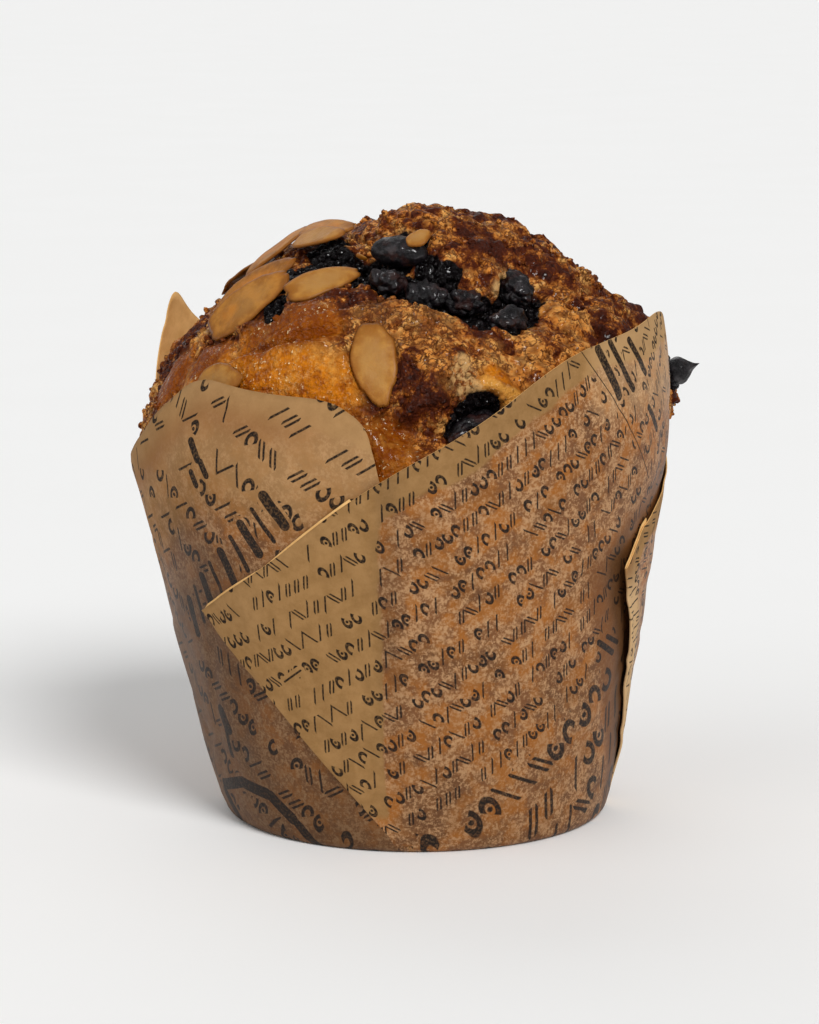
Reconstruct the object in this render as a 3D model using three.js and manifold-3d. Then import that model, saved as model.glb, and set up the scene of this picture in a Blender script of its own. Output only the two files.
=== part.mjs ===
// A berry and almond muffin in a folded paper wrap, in millimetres, +Z up.
// The origin is the centre of the flat base. Azimuth 0 faces the viewer (-Y) and grows towards +X.
import * as THREE from "three";
import { mergeVertices } from "three/addons/utils/BufferGeometryUtils.js";
import Module from "manifold-3d";

const wasm = await Module();
wasm.setup();

// Cup that the sheet is pressed into: it flares up to the rim and leans a little to the left
const baseRadius = 28.4;
const wallFlare = 0.22;
const rimHeight = 52;
const rimSoftness = 6;
const lean = 0.05;
const cornerRadius = 2.6;
const cornerTurn = 75;

// Paper wrap: one square sheet with four pleats, drawn thick enough to be a solid
const paperThickness = 0.7;
const pleatStep = 0.5;
const wrinkleDepth = 0.25;
const wrinkleLength = 9;
const plateRadius = baseRadius - cornerRadius + 0.3;

// Cake body, from the base to the top of the dome
const gap = 0.35;
const sideClearance = 0.9;
const domeBase = 52;
const domeRadius = 38.7;
const domeHeight = 38.4;
const uprightAgain = 0.11;
const cragHeight = 0.9;
const overhang = 5;
const cakeDetail = 15;
const domeShare = 0.64;
const sideShare = 0.9;

// Almond flakes and berries
const flakeThickness = 1.1;
const flakeSides = 12;
const flakeEdge = 0.7;
const flakeBend = 0.011;
const flakeRings = [0.6, 1];
const berryDetail = 2;
const pocketDetail = 1;
const pocketSlack = 0.5;

const radians = THREE.MathUtils.degToRad;
const degrees = THREE.MathUtils.radToDeg;
const smoothstep = THREE.MathUtils.smoothstep;
const lerp = THREE.MathUtils.lerp;

// Seeded lattice noise, between -1 and 1

function latticeValue(x, y, z, seed) {
  let h = Math.imul(x, 374761393) + Math.imul(y, 668265263);
  h = (h + Math.imul(z, 1440662683) + Math.imul(seed, 974711)) | 0;
  h = Math.imul(h ^ (h >>> 13), 1274126177);
  h = Math.imul(h ^ (h >>> 16), 2246822519);
  return ((h ^ (h >>> 15)) >>> 0) / 2147483648 - 1;
}

function noise(point, wavelength, seed) {
  const scaled = point.toArray().map((value) => value / wavelength);
  const cell = scaled.map(Math.floor);
  const ease = scaled.map((value, i) => smoothstep(value - cell[i], 0, 1));
  let sum = 0;
  for (let corner = 0; corner < 8; corner++) {
    const step = [corner & 1, (corner >> 1) & 1, corner >> 2];
    const weight = step.reduce((product, s, i) => product * (s ? ease[i] : 1 - ease[i]), 1);
    sum += weight * latticeValue(cell[0] + step[0], cell[1] + step[1], cell[2] + step[2], seed);
  }
  return sum;
}

// The cup

function wallRadius(z) {
  const above = rimSoftness * (1 - Math.exp(-Math.max(0, z - rimHeight) / rimSoftness));
  return baseRadius + wallFlare * (Math.min(z, rimHeight) + above);
}

const wallCentre = (z) => -lean * Math.min(z, rimHeight);

function around(azimuth, radius, z, centreX) {
  const a = radians(azimuth);
  return new THREE.Vector3(centreX + radius * Math.sin(a), -radius * Math.cos(a), z);
}

// Cake relief: places on the dome are [azimuth, angle from the top], in degrees

function onDome([azimuth, polar]) {
  const p = radians(polar);
  return around(azimuth, domeRadius * Math.sin(p), domeHeight * Math.cos(p), 0);
}

function domeNormal(azimuth, polar) {
  const p = radians(polar);
  return around(azimuth, Math.sin(p) / domeRadius, Math.cos(p) / domeHeight, 0).normalize();
}

// Swellings of the crumb: place, spread and height
const lumps = [
  { at: [62, 24], spread: 10, height: 0.4 },
  { at: [20, 12], spread: 6, height: 1.0 },
  { at: [-76, 32], spread: 13, height: -1.8 },
  { at: [4, 57], spread: 8, height: 1.8 },
  { at: [-24, 55], spread: 6.5, height: 1.4 },
  { at: [-34, 66], spread: 7, height: 1.1 },
  { at: [45, 62], spread: 7, height: 1.6 },
  { at: [72, 58], spread: 6, height: 1.4 },
  { at: [21, 66], spread: 2.6, height: 2.0 },
  { at: [7, 68], spread: 3, height: 1.3 },
  { at: [-62, 50], spread: 7, height: 0.8 },
  { at: [-100, 60], spread: 8, height: 1.6 },
  { at: [108, 73], spread: 5.5, height: 6.0 },
  { at: [150, 58], spread: 9, height: 2.0 },
  { at: [196, 34], spread: 9, height: 1.8 },
  { at: [222, 62], spread: 8, height: 2.0 },
];

// Where the top burst open: a chain of places, with a width and a depth
const clefts = [
  { path: [[-26, 24], [-16, 32], [-2, 38], [9, 42], [22, 46], [36, 47], [46, 40]], width: 4.2, depth: 4.2 },
  { path: [[75, 42], [66, 53], [63, 64]], width: 1.8, depth: 2.2 },
  { path: [[-2, 73], [8, 75], [19, 71]], width: 2.4, depth: 2.6 },
  { path: [[-26, 24], [-57, 14], [-131, 15], [-147, 26], [-150, 40]], width: 2.6, depth: 1.8 },
  { path: [[150, 26], [172, 40], [186, 50], [212, 46]], width: 2.8, depth: 3.6 },
  { path: [[118, 58], [128, 66], [132, 78]], width: 2.0, depth: 2.2 },
];

// Torn edges of the crust: going along the chain, the left side stands higher
const ledges = [
  { path: [[-12, 45], [-34, 54], [-48, 61]], width: 5, height: 1.9 },
  { path: [[-16, 56], [-38, 59], [-54, 67]], width: 5, height: 1.7 },
  { path: [[-150, 32], [-131, 13], [-50, 10], [-22, 21]], width: 7, height: 2.0 },
  { path: [[244, 56], [222, 50], [200, 58]], width: 5, height: 1.9 },
];

// Distance to a chain of places, and which side of it the point is on: 1 is left, -1 is right
function nearestOnPath(point, path) {
  const best = { distance: Infinity, side: 1 };
  for (let i = 0; i + 1 < path.length; i++) {
    const start = onDome(path[i]);
    const run = onDome(path[i + 1]).sub(start);
    const offset = point.clone().sub(start);
    const along = THREE.MathUtils.clamp(offset.dot(run) / run.lengthSq(), 0, 1);
    offset.addScaledVector(run, -along);
    if (offset.length() < best.distance) {
      best.distance = offset.length();
      best.side = Math.sign(run.clone().cross(offset).dot(point)) || 1;
    }
  }
  return best;
}

// The crust is smooth where it is golden, to the left of the front
function cragginess(azimuth, polar) {
  const distance = onDome([azimuth, polar]).distanceTo(onDome([-32, 62]));
  return lerp(0.3, 1, smoothstep(distance, 8, 16));
}

function relief(azimuth, polar) {
  const point = onDome([azimuth, polar]);
  let total = 0;
  for (const { at, spread, height } of lumps) {
    total += height * Math.exp(-point.distanceToSquared(onDome(at)) / spread ** 2);
  }
  for (const { path, width, depth } of clefts) {
    const { distance } = nearestOnPath(point, path);
    total -= depth * Math.exp(-((distance / width) ** 2));
  }
  for (const { path, width, height } of ledges) {
    const { distance, side } = nearestOnPath(point, path);
    const raised = smoothstep(side * distance, -0.7, 0.7);
    total += height * (raised - 0.35) * Math.exp(-distance / width);
  }
  const crags = noise(point, 7, 1) + 0.6 * noise(point, 3.4, 2);
  return total + cragHeight * crags * cragginess(azimuth, polar);
}

// The cake's surface, from the top of the dome (0) to the middle of the base (1)

const cakeCentre = (z) => -lean * z + uprightAgain * Math.max(0, z - domeBase);
const cakeBottom = paperThickness + gap;
const sideRadius = (z) => Math.min(domeRadius, wallRadius(z) - paperThickness - sideClearance);

// Height of the paper's edge at an azimuth
function paperTop(azimuth) {
  const heights = petals.map(({ rim }) => {
    const turned = THREE.MathUtils.euclideanModulo(azimuth - rim[0][0], 360) + rim[0][0];
    const next = rim.findIndex(([end]) => end >= turned);
    if (next < 1) return 0;
    const [[startAzimuth, startZ], [endAzimuth, endZ]] = [rim[next - 1], rim[next]];
    return lerp(startZ, endZ, (turned - startAzimuth) / (endAzimuth - startAzimuth));
  });
  return Math.max(...heights);
}

// The cake stays inside the paper and may swell over it only above its edge
function domePoint(azimuth, polar) {
  const p = radians(polar);
  const z = domeBase + domeHeight * Math.cos(p);
  const above = smoothstep(z - paperTop(azimuth), 1.5, 5.5);
  const room = wallRadius(z) - paperThickness - sideClearance - domeRadius * Math.sin(p) + overhang * above;
  const height = Math.min(relief(azimuth, polar) * smoothstep(z, 50, 60), Math.max(0, room));
  const place = around(azimuth, domeRadius * Math.sin(p), z, cakeCentre(z));
  return place.addScaledVector(domeNormal(azimuth, polar), height);
}

function sidePoint(azimuth, down) {
  const z = lerp(domeBase, cakeBottom, down);
  const short = Math.max(0, cornerRadius - (z - cakeBottom));
  const rounding = cornerRadius - Math.sqrt(cornerRadius ** 2 - short ** 2);
  return around(azimuth, sideRadius(z) - rounding, z, cakeCentre(z));
}

function cakePoint(azimuth, along) {
  if (along < domeShare) return domePoint(azimuth, (90 * along) / domeShare);
  if (along < sideShare) return sidePoint(azimuth, (along - domeShare) / (sideShare - domeShare));
  const outward = (1 - along) / (1 - sideShare);
  return around(azimuth, (sideRadius(cakeBottom) - cornerRadius) * outward, cakeBottom, 0);
}

// Meshes and solids

function geometryOf(points, faces) {
  return new THREE.BufferGeometry()
    .setAttribute("position", new THREE.BufferAttribute(new Float32Array(points.flatMap((p) => p.toArray())), 3))
    .setIndex(faces);
}

function welded(geometry) {
  geometry.deleteAttribute("normal");
  geometry.deleteAttribute("uv");
  return mergeVertices(geometry, 1e-4);
}

function reshape(geometry, place) {
  const position = geometry.attributes.position;
  for (let i = 0; i < position.count; i++) {
    const moved = place(new THREE.Vector3().fromBufferAttribute(position, i));
    position.setXYZ(i, moved.x, moved.y, moved.z);
  }
  return geometry;
}

function solidOf(geometry) {
  const mesh = new wasm.Mesh({
    numProp: 3,
    vertProperties: new Float32Array(geometry.attributes.position.array),
    triVerts: new Uint32Array(geometry.index.array),
  });
  return new wasm.Manifold(mesh);
}

// The largest body of a solid: a cut can leave scraps, and a join can seal a hollow
function mainBody(solid) {
  return solid.decompose().sort((a, b) => b.volume() - a.volume())[0];
}

function meshOf(solid, name, material) {
  const { numProp, vertProperties, triVerts } = mainBody(solid).getMesh();
  const geometry = new THREE.BufferGeometry()
    .setAttribute("position", new THREE.BufferAttribute(vertProperties, numProp))
    .setIndex(new THREE.BufferAttribute(triVerts, 1));
  geometry.computeVertexNormals();
  const mesh = new THREE.Mesh(geometry, material);
  mesh.name = name;
  return mesh;
}

// A curved sheet: an outer and an inner grid of points, closed along its rim
function sheetSolid(outer, inner) {
  const rows = outer.length;
  const columns = outer[0].length;
  const behind = rows * columns;
  const faces = [];
  for (let r = 0; r + 1 < rows; r++) {
    for (let c = 0; c + 1 < columns; c++) {
      const a = r * columns + c;
      const quad = [a, a + 1, a + columns, a + 1, a + columns + 1, a + columns];
      faces.push(...quad, ...quad.map((corner) => corner + behind).reverse());
    }
  }
  const rim = [];
  for (let c = 0; c < columns; c++) rim.push(c);
  for (let r = 1; r < rows; r++) rim.push(r * columns + columns - 1);
  for (let c = columns - 2; c >= 0; c--) rim.push((rows - 1) * columns + c);
  for (let r = rows - 2; r > 0; r--) rim.push(r * columns);
  rim.forEach((a, i) => {
    const b = rim[(i + 1) % rim.length];
    faces.push(b, a, a + behind, b, a + behind, b + behind);
  });
  return solidOf(welded(geometryOf([...outer.flat(), ...inner.flat()], faces)));
}

// Paper wrap

// Each petal lies over the one to its left. Its base runs from one fold's foot to the next, and its
// rim, in [azimuth, height], climbs from the fold's corner to the tip and drops behind the next petal.
const petals = [
  {
    base: [-3.5, 90],
    rim: [[-55, 33.6], [-31, 42.3], [-4, 56.2], [16, 64], [36, 72.7], [58, 75], [74, 76.4], [86, 75.5], [93, 68], [96, 58], [99, 47]],
    lift: 0.2,
    leanFrom: 60,
    leanBy: 1.05,
  },
  {
    base: [87, 181],
    rim: [[55.5, 39.8], [69, 46.3], [92, 52.5], [107, 56.5], [120, 64.5], [134, 73], [148, 75], [157, 70], [162, 60], [166, 51], [169, 42]],
    lift: 1.4,
    leanFrom: 62,
    leanBy: 1.0,
  },
  {
    base: [177, 271],
    rim: [[139, 33.5], [165, 44.5], [190, 55], [214, 65], [230, 71.2], [241, 76.4], [243.5, 70], [246, 63], [250, 54], [255, 46]],
    lift: 0.5,
    leanFrom: 62,
    leanBy: 0.8,
  },
  {
    base: [-93, -1],
    rim: [[-144, 33.5], [-118, 43], [-92, 53.5], [-62, 62.5], [-49, 69], [-31, 67.6], [-14, 67.2], [-6.5, 64], [-4.2, 58], [-2, 50]],
    lift: 0.5,
    leanFrom: 56,
    leanBy: 1.8,
  },
];

const petalColumns = 15;
const cornerRows = 2;
const wallRows = 6;

// How far an azimuth lies past the right-hand border of a petal at a height, in degrees
function pastPetal(petal, azimuth, z) {
  const [endAzimuth, endHeight] = petal.rim.at(-1);
  const border = lerp(petal.base[1], endAzimuth, Math.min(z / endHeight, 1));
  return THREE.MathUtils.euclideanModulo(azimuth - border + 180, 360) - 180;
}

// How far an azimuth lies past the fold on a petal's left, in degrees
function pastFold(petal, azimuth, z) {
  const [foldAzimuth, foldHeight] = petal.rim[0];
  return azimuth - lerp(petal.base[0], foldAzimuth, Math.min(z / foldHeight, 1));
}

// The sheet's face, at a length along the wall from the flat base and a depth from the outside
function wrapPoint(petal, azimuth, length, inward) {
  const cornerLength = cornerRadius * radians(cornerTurn);
  if (length <= cornerLength) {
    const turn = length / cornerRadius;
    const reach = cornerRadius - inward;
    const radius = baseRadius - cornerRadius + reach * Math.sin(turn);
    return around(azimuth, radius, cornerRadius - reach * Math.cos(turn), 0);
  }
  const z = length;
  const settled = smoothstep(z, cornerLength, 12);
  const wrinkle = wrinkleDepth * noise(around(azimuth, baseRadius, z, 0), wrinkleLength, 7);
  const before = petals[(petals.indexOf(petal) + petals.length - 1) % petals.length];
  const overlap = pleatStep * (1 - smoothstep(pastPetal(before, azimuth, z), 8, 24));
  const loose = Math.exp(-((pastFold(petal, azimuth, z) / 6) ** 2)) * (1 - smoothstep(z, 44, 58));
  const leaning = petal.leanBy * (Math.max(0, z - petal.leanFrom) / 10) ** 2;
  const outward = settled * (wrinkle + overlap + petal.lift * loose) - leaning;
  return around(azimuth, wallRadius(z) + outward - inward, z, wallCentre(z));
}

function petalSolid(petal, grow) {
  const rimCurve = new THREE.CatmullRomCurve3(petal.rim.map(([azimuth, z]) => new THREE.Vector3(azimuth, z, 0)));
  const cornerLength = cornerRadius * radians(cornerTurn);
  const wider = degrees(grow / baseRadius);
  const grid = (inward) =>
    Array.from({ length: cornerRows + wallRows + 1 }, (_, row) =>
      Array.from({ length: petalColumns }, (_, column) => {
        const across = column / (petalColumns - 1);
        const rim = rimCurve.getPoint(across);
        const top = rim.y + grow;
        const inCorner = (cornerLength * row) / cornerRows;
        const onWall = lerp(cornerLength, top, (row - cornerRows) / wallRows);
        const length = row <= cornerRows ? inCorner : onWall;
        const baseAzimuth = lerp(petal.base[0], petal.base[1], across);
        const azimuth = lerp(baseAzimuth, rim.x, length / top) + wider * (2 * across - 1);
        return wrapPoint(petal, azimuth, length, inward);
      }),
    );
  return sheetSolid(grid(-grow), grid(paperThickness + grow));
}

function basePlate() {
  const plate = new THREE.CylinderGeometry(plateRadius, plateRadius, paperThickness, 48);
  plate.rotateX(Math.PI / 2).translate(0, 0, paperThickness / 2);
  return solidOf(welded(plate));
}

const wrapSolid = () => petals.reduce((joined, petal) => joined.add(petalSolid(petal, 0)), basePlate());

// Almond flakes, from one end to the other, with the height of both ends above the crust.
// Roll lifts one long edge.
const flakes = [
  { name: "almond_front", from: [-14, 51], to: [-7, 69.5], width: 6.8, raise: [1.1, 1.2] },
  { name: "almond_low_left", from: [-54, 66], to: [-38, 63], width: 6.4, raise: [0.6, 0.7] },
  { name: "almond_left_long", from: [-66, 58], to: [-47, 38], width: 7.2, raise: [1.2, 1.6], roll: 14 },
  { name: "almond_left_under", from: [-86, 55], to: [-67, 31], width: 6.6, raise: [2.0, 2.2], roll: 12 },
  { name: "almond_left_edge", from: [-94, 44], to: [-98, 27], width: 5.2, raise: [1.8, 2.2], roll: 12 },
  { name: "almond_crest_left", from: [-86, 25], to: [-50, 16], width: 5, raise: [2.1, 2.0], roll: 10 },
  { name: "almond_crest_low", from: [-60, 28], to: [-42, 22], width: 4, raise: [1.5, 1.6], roll: 12 },
  { name: "almond_middle", from: [-40, 45], to: [-22, 33], width: 5, raise: [1.1, 1.8], roll: 12 },
  { name: "almond_back_left", from: [246, 34], to: [238, 54], width: 8, raise: [1.0, 1.1] },
  { name: "almond_back", from: [190, 66], to: [208, 62], width: 7.4, raise: [1.0, 1.0] },
  { name: "almond_back_right", from: [160, 34], to: [138, 46], width: 7.8, raise: [1.5, 1.4] },
];

const surfacePoint = ([azimuth, polar], raise) =>
  domePoint(azimuth, polar).addScaledVector(domeNormal(azimuth, polar), raise);

function flakeFrame({ from, to, raise, roll = 0 }) {
  const start = surfacePoint(from, raise[0]);
  const end = surfacePoint(to, raise[1]);
  const middle = [(from[0] + to[0]) / 2, (from[1] + to[1]) / 2];
  const along = end.clone().sub(start).normalize();
  const across = domeNormal(...middle).cross(along).normalize();
  const frame = new THREE.Matrix4().makeBasis(along, across, along.clone().cross(across));
  frame.multiply(new THREE.Matrix4().makeRotationX(radians(roll)));
  return frame.setPosition(start.add(end).multiplyScalar(0.5));
}

function flakeSolid({ from, to, raise, width }, grow, rings) {
  const length = surfacePoint(from, raise[0]).distanceTo(surfacePoint(to, raise[1]));
  const half = flakeThickness / 2 + grow;
  const points = [];
  for (const side of [half, -half]) {
    points.push(new THREE.Vector3(0, 0, side));
    for (const ring of rings) {
      for (let i = 0; i < flakeSides; i++) {
        const turn = (2 * Math.PI * i) / flakeSides;
        const x = (length / 2 + grow) * ring * Math.cos(turn);
        const y = (width / 2 + grow) * ring * Math.sin(turn) * (1 - 0.2 * Math.cos(turn));
        const edge = ring === 1 && rings.length > 1 ? flakeEdge : 1;
        points.push(new THREE.Vector3(x, y, side * edge - flakeBend * x * x));
      }
    }
  }
  const perSide = 1 + rings.length * flakeSides;
  const faces = [];
  for (let i = 0; i < flakeSides; i++) {
    const [a, b] = [1 + i, 1 + ((i + 1) % flakeSides)];
    const top = [0, a, b];
    const outer = (rings.length - 1) * flakeSides;
    if (outer) top.push(a, a + outer, b + outer, a, b + outer, b);
    faces.push(...top, ...top.map((corner) => corner + perSide).reverse());
    const [c, d] = [a + outer, b + outer];
    faces.push(c, c + perSide, d + perSide, c, d + perSide, d);
  }
  return solidOf(geometryOf(points, faces));
}

// Baked berries: round ones, and burst ones that are flat and lumpy. X runs to the right.
const berries = [
  { name: "berry_crest", at: [-6, 26], radii: [4.4, 3.0, 2.6], heading: -10, raise: 0.7, lumpy: 0.15 },
  { name: "berry_burst_left", at: [-9, 37], radii: [3.0, 2.5, 2.2], heading: -20, raise: 1.5, lumpy: 0.5 },
  { name: "berry_burst_middle", at: [5, 42], radii: [3.3, 2.5, 2.2], heading: -25, raise: 1.8, lumpy: 0.5 },
  { name: "berry_burst_right", at: [20, 44.5], radii: [3.2, 2.6, 2.2], heading: -10, raise: 1.6, lumpy: 0.5 },
  { name: "berry_torn", at: [43, 40], radii: [2.4, 3.5, 2.8], heading: -8, raise: 1.4, lumpy: 0.5 },
  { name: "berry_flat", at: [31, 51], radii: [3.4, 2.1, 1.9], heading: 4, raise: 1.1, lumpy: 0.4 },
  { name: "berry_low", at: [13, 73], radii: [4.4, 2.6, 2.4], heading: 24, raise: 1.0, lumpy: 0.3 },
  { name: "berry_side", at: [105, 71], radii: [3.0, 3.1, 3.2], heading: 0, raise: 0.4, lumpy: 0.2, crown: 1.8 },
  { name: "berry_back", at: [176, 43], radii: [4.4, 4.0, 3.4], heading: 0, raise: 2.0, lumpy: 0.4 },
];

function berryFrame({ at, heading, raise }) {
  const out = domeNormal(...at);
  const right = around(at[0] + 90, 1, 0, 0);
  const frame = new THREE.Matrix4().makeBasis(right, out.clone().cross(right), out);
  frame.multiply(new THREE.Matrix4().makeRotationZ(radians(heading)));
  return frame.setPosition(surfacePoint(at, raise));
}

function berrySolid({ radii, lumpy, crown = 0 }, grow, detail) {
  const ball = welded(new THREE.IcosahedronGeometry(1, detail));
  const grown = reshape(ball, (direction) => {
    const point = crown * smoothstep(direction.z, 0.9, 1);
    const swell = lumpy * noise(direction.clone().multiplyScalar(4), 2.2, 11) + grow + point;
    return direction.multiply(new THREE.Vector3(...radii).addScalar(swell));
  });
  return solidOf(grown);
}

function cakeSolid() {
  const ball = welded(new THREE.IcosahedronGeometry(1, cakeDetail));
  const shaped = reshape(ball, (direction) => {
    const azimuth = degrees(Math.atan2(direction.x, -direction.y));
    const along = Math.acos(THREE.MathUtils.clamp(direction.z, -1, 1)) / Math.PI;
    return cakePoint(azimuth, along);
  });
  return solidOf(shaped);
}

// Materials

const crustMaterial = new THREE.MeshStandardMaterial({ color: 0x9a5a22, roughness: 0.6 });
const paperMaterial = new THREE.MeshStandardMaterial({ color: 0xb08c5a, roughness: 0.75 });
const almondMaterial = new THREE.MeshStandardMaterial({ color: 0xd9b277, roughness: 0.5 });
const berryMaterial = new THREE.MeshStandardMaterial({ color: 0x1c1418, roughness: 0.3 });

// Assembly: the cake is cut back around the paper and every topping that is sunk in it

const placed = (solid, frame) => solid.transform(frame.toArray());

function buildMuffin() {
  const muffin = new THREE.Group();
  let cake = petals.reduce((rest, petal) => rest.subtract(petalSolid(petal, gap)), cakeSolid());
  for (const flake of flakes) {
    const frame = flakeFrame(flake);
    cake = cake.subtract(placed(flakeSolid(flake, gap, [1]), frame));
    muffin.add(meshOf(placed(flakeSolid(flake, 0, flakeRings), frame), flake.name, almondMaterial));
  }
  for (const berry of berries) {
    const frame = berryFrame(berry);
    cake = cake.subtract(placed(berrySolid(berry, gap + pocketSlack, pocketDetail), frame));
    muffin.add(meshOf(placed(berrySolid(berry, 0, berryDetail), frame), berry.name, berryMaterial));
  }
  muffin.add(meshOf(cake, "cake", crustMaterial));
  muffin.add(meshOf(wrapSolid(), "paper_wrap", paperMaterial));
  return muffin;
}

export default buildMuffin();
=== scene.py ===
# Looks of a berry and almond muffin in a folded paper wrap, built around its CAD frame.
# Shapes are worked out in millimetres and stored in metres. Azimuth 0 faces the viewer (-Y).
import math

import bpy
import numpy as np
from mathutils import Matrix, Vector


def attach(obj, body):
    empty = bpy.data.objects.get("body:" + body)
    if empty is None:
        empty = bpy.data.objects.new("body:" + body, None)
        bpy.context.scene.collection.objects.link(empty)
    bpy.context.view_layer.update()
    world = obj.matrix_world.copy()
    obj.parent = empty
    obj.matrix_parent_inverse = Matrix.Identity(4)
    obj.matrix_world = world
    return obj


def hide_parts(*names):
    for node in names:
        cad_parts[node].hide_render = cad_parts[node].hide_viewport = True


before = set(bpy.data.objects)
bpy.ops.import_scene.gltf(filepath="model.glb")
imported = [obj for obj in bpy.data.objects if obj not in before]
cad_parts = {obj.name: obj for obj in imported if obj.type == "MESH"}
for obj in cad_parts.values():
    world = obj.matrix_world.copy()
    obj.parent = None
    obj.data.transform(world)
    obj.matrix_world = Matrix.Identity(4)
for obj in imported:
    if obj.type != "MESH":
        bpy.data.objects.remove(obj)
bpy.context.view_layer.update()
mm = 0.001


# Node trees

class Wire:
    # a socket whose arithmetic adds Math nodes
    def __init__(self, graph, socket):
        self.graph = graph
        self.socket = socket

    def __add__(self, other):
        return self.graph.maths("ADD", self, other)

    def __radd__(self, other):
        return self.graph.maths("ADD", other, self)

    def __sub__(self, other):
        return self.graph.maths("SUBTRACT", self, other)

    def __rsub__(self, other):
        return self.graph.maths("SUBTRACT", other, self)

    def __mul__(self, other):
        return self.graph.maths("MULTIPLY", self, other)

    def __rmul__(self, other):
        return self.graph.maths("MULTIPLY", other, self)

    def __truediv__(self, other):
        return self.graph.maths("DIVIDE", self, other)


class Graph:
    # adds nodes to a tree
    def __init__(self, tree):
        self.tree = tree

    def node(self, kind, settings=None, sockets=None, output=0):
        made = self.tree.nodes.new(kind)
        for name, value in (settings or {}).items():
            if name == "stops":
                for (place, colour), stop in zip(value, self.rampStops(made, len(value))):
                    stop.position = place
                    stop.color = colour
            else:
                setattr(made, name, value)
        for name, value in (sockets or {}).items():
            if isinstance(value, Wire):
                self.tree.links.new(value.socket, made.inputs[name])
            else:
                made.inputs[name].default_value = value
        return Wire(self, made.outputs[output]) if len(made.outputs) else None

    def rampStops(self, made, count):
        while len(made.color_ramp.elements) < count:
            made.color_ramp.elements.new(0.5)
        return made.color_ramp.elements

    def maths(self, operation, *values, clamp=False):
        settings = {"operation": operation, "use_clamp": clamp}
        return self.node("ShaderNodeMath", settings, dict(enumerate(values)))

    def clamp(self, value):
        return self.maths("ADD", value, 0.0, clamp=True)

    def smooth(self, value, low, high):
        settings = {"interpolation_type": "SMOOTHSTEP"}
        return self.node("ShaderNodeMapRange", settings, {"Value": value, "From Min": low, "From Max": high})

    def mix(self, factor, first, second):
        return self.node("ShaderNodeMix", {"data_type": "RGBA"}, {0: factor, 6: first, 7: second}, output=2)

    def noise(self, place, size, detail=3.0, roughness=0.55, output=0):
        settings = {"noise_dimensions": "3D"}
        sockets = {"Vector": place, "Scale": 1 / size, "Detail": detail, "Roughness": roughness}
        return self.node("ShaderNodeTexNoise", settings, sockets, output)

    def cells(self, place, size):
        sockets = {"Vector": place, "Scale": 1 / size}
        return self.node("ShaderNodeTexVoronoi", {"voronoi_dimensions": "3D"}, sockets)

    def chance(self, place, output=0):
        return self.node("ShaderNodeTexWhiteNoise", {"noise_dimensions": "3D"}, {"Vector": place}, output)

    def painted(self, name):
        return self.node("ShaderNodeAttribute", {"attribute_name": name}, output=2)

    def placeInMm(self):
        place = self.node("ShaderNodeTexCoord", output=3)
        return self.node("ShaderNodeMapping", sockets={"Vector": place, "Scale": (1000, 1000, 1000)})


def srgb(text):
    # a colour as it is read from a screen, "b5753a", as the shader's own numbers
    parts = [int(text[i:i + 2], 16) / 255 for i in (0, 2, 4)]
    linear = [p / 12.92 if p <= 0.04045 else ((p + 0.055) / 1.055) ** 2.4 for p in parts]
    return (*linear, 1.0)


def startLook(name):
    material = bpy.data.materials.new(name)
    material.use_nodes = True
    material.node_tree.nodes.clear()
    return material, Graph(material.node_tree)


def finishLook(graph, sockets, bump=None, bumpStrength=1.0):
    # bump is a height in millimetres
    if bump is not None:
        height = {"Height": bump, "Distance": mm, "Strength": bumpStrength}
        sockets["Normal"] = graph.node("ShaderNodeBump", sockets=height)
    shader = graph.node("ShaderNodeBsdfPrincipled", sockets=sockets)
    graph.node("ShaderNodeOutputMaterial", sockets={"Surface": shader})


# Number work on arrays

seeds = {
    "crags": 1, "smallCrags": 2, "flakeOutline": 5, "flakeEdge": 6, "flakeWaves": 6, "wrinkles": 7,
    "flakeGrain": 8, "berryForm": 11, "paintEdges": 31, "crustDrift": 41, "crustLumps": 44,
    "crustGrains": 47, "crustFolds": 61, "lobeFolds": 71, "lobeGrain": 77, "paperDents": 81,
    "crustTone": 83, "paperCreases": 91, "oilEdge": 101, "berryBeads": 111, "berryDrift": 115,
    "berryGrain": 121, "crumbPatches": 131, "paperShade": 141,
}


def smoothstep(value, low, high):
    t = np.clip((value - low) / (high - low), 0, 1)
    return t * t * (3 - 2 * t)


def lerp(first, second, t):
    return first + (second - first) * t


def latticeValue(x, y, z, seed):
    h = x * np.uint32(374761393) + y * np.uint32(668265263)
    h = h + z * np.uint32(1440662683) + np.uint32(seed * 974711)
    h = (h ^ (h >> np.uint32(13))) * np.uint32(1274126177)
    h = (h ^ (h >> np.uint32(16))) * np.uint32(2246822519)
    return (h ^ (h >> np.uint32(15))) / 2147483648.0 - 1


def whole(values):
    return np.floor(values).astype(np.int64).astype(np.uint32)


def noise(points, wavelength, seed):
    # the same seeded noise that shapes the CAD cake, between -1 and 1
    scaled = points / wavelength
    t = scaled - np.floor(scaled)
    ease = t * t * (3 - 2 * t)
    cell = whole(scaled)
    total = np.zeros(len(points))
    for corner in range(8):
        step = np.array([corner & 1, corner >> 1 & 1, corner >> 2], np.uint32)
        weight = np.prod(np.where(step, ease, 1 - ease), axis=1)
        x, y, z = (cell + step).T
        total += weight * latticeValue(x, y, z, seed)
    return total


def layered(points, wavelength, seed, layers=3):
    total = sum(noise(points, wavelength / 2 ** i, seed + i) / 2 ** i for i in range(layers))
    return total / 1.5


def warped(points, amount, size, seed):
    return points + amount * np.stack([noise(points, size, seed + k) for k in range(3)], axis=1)


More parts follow.
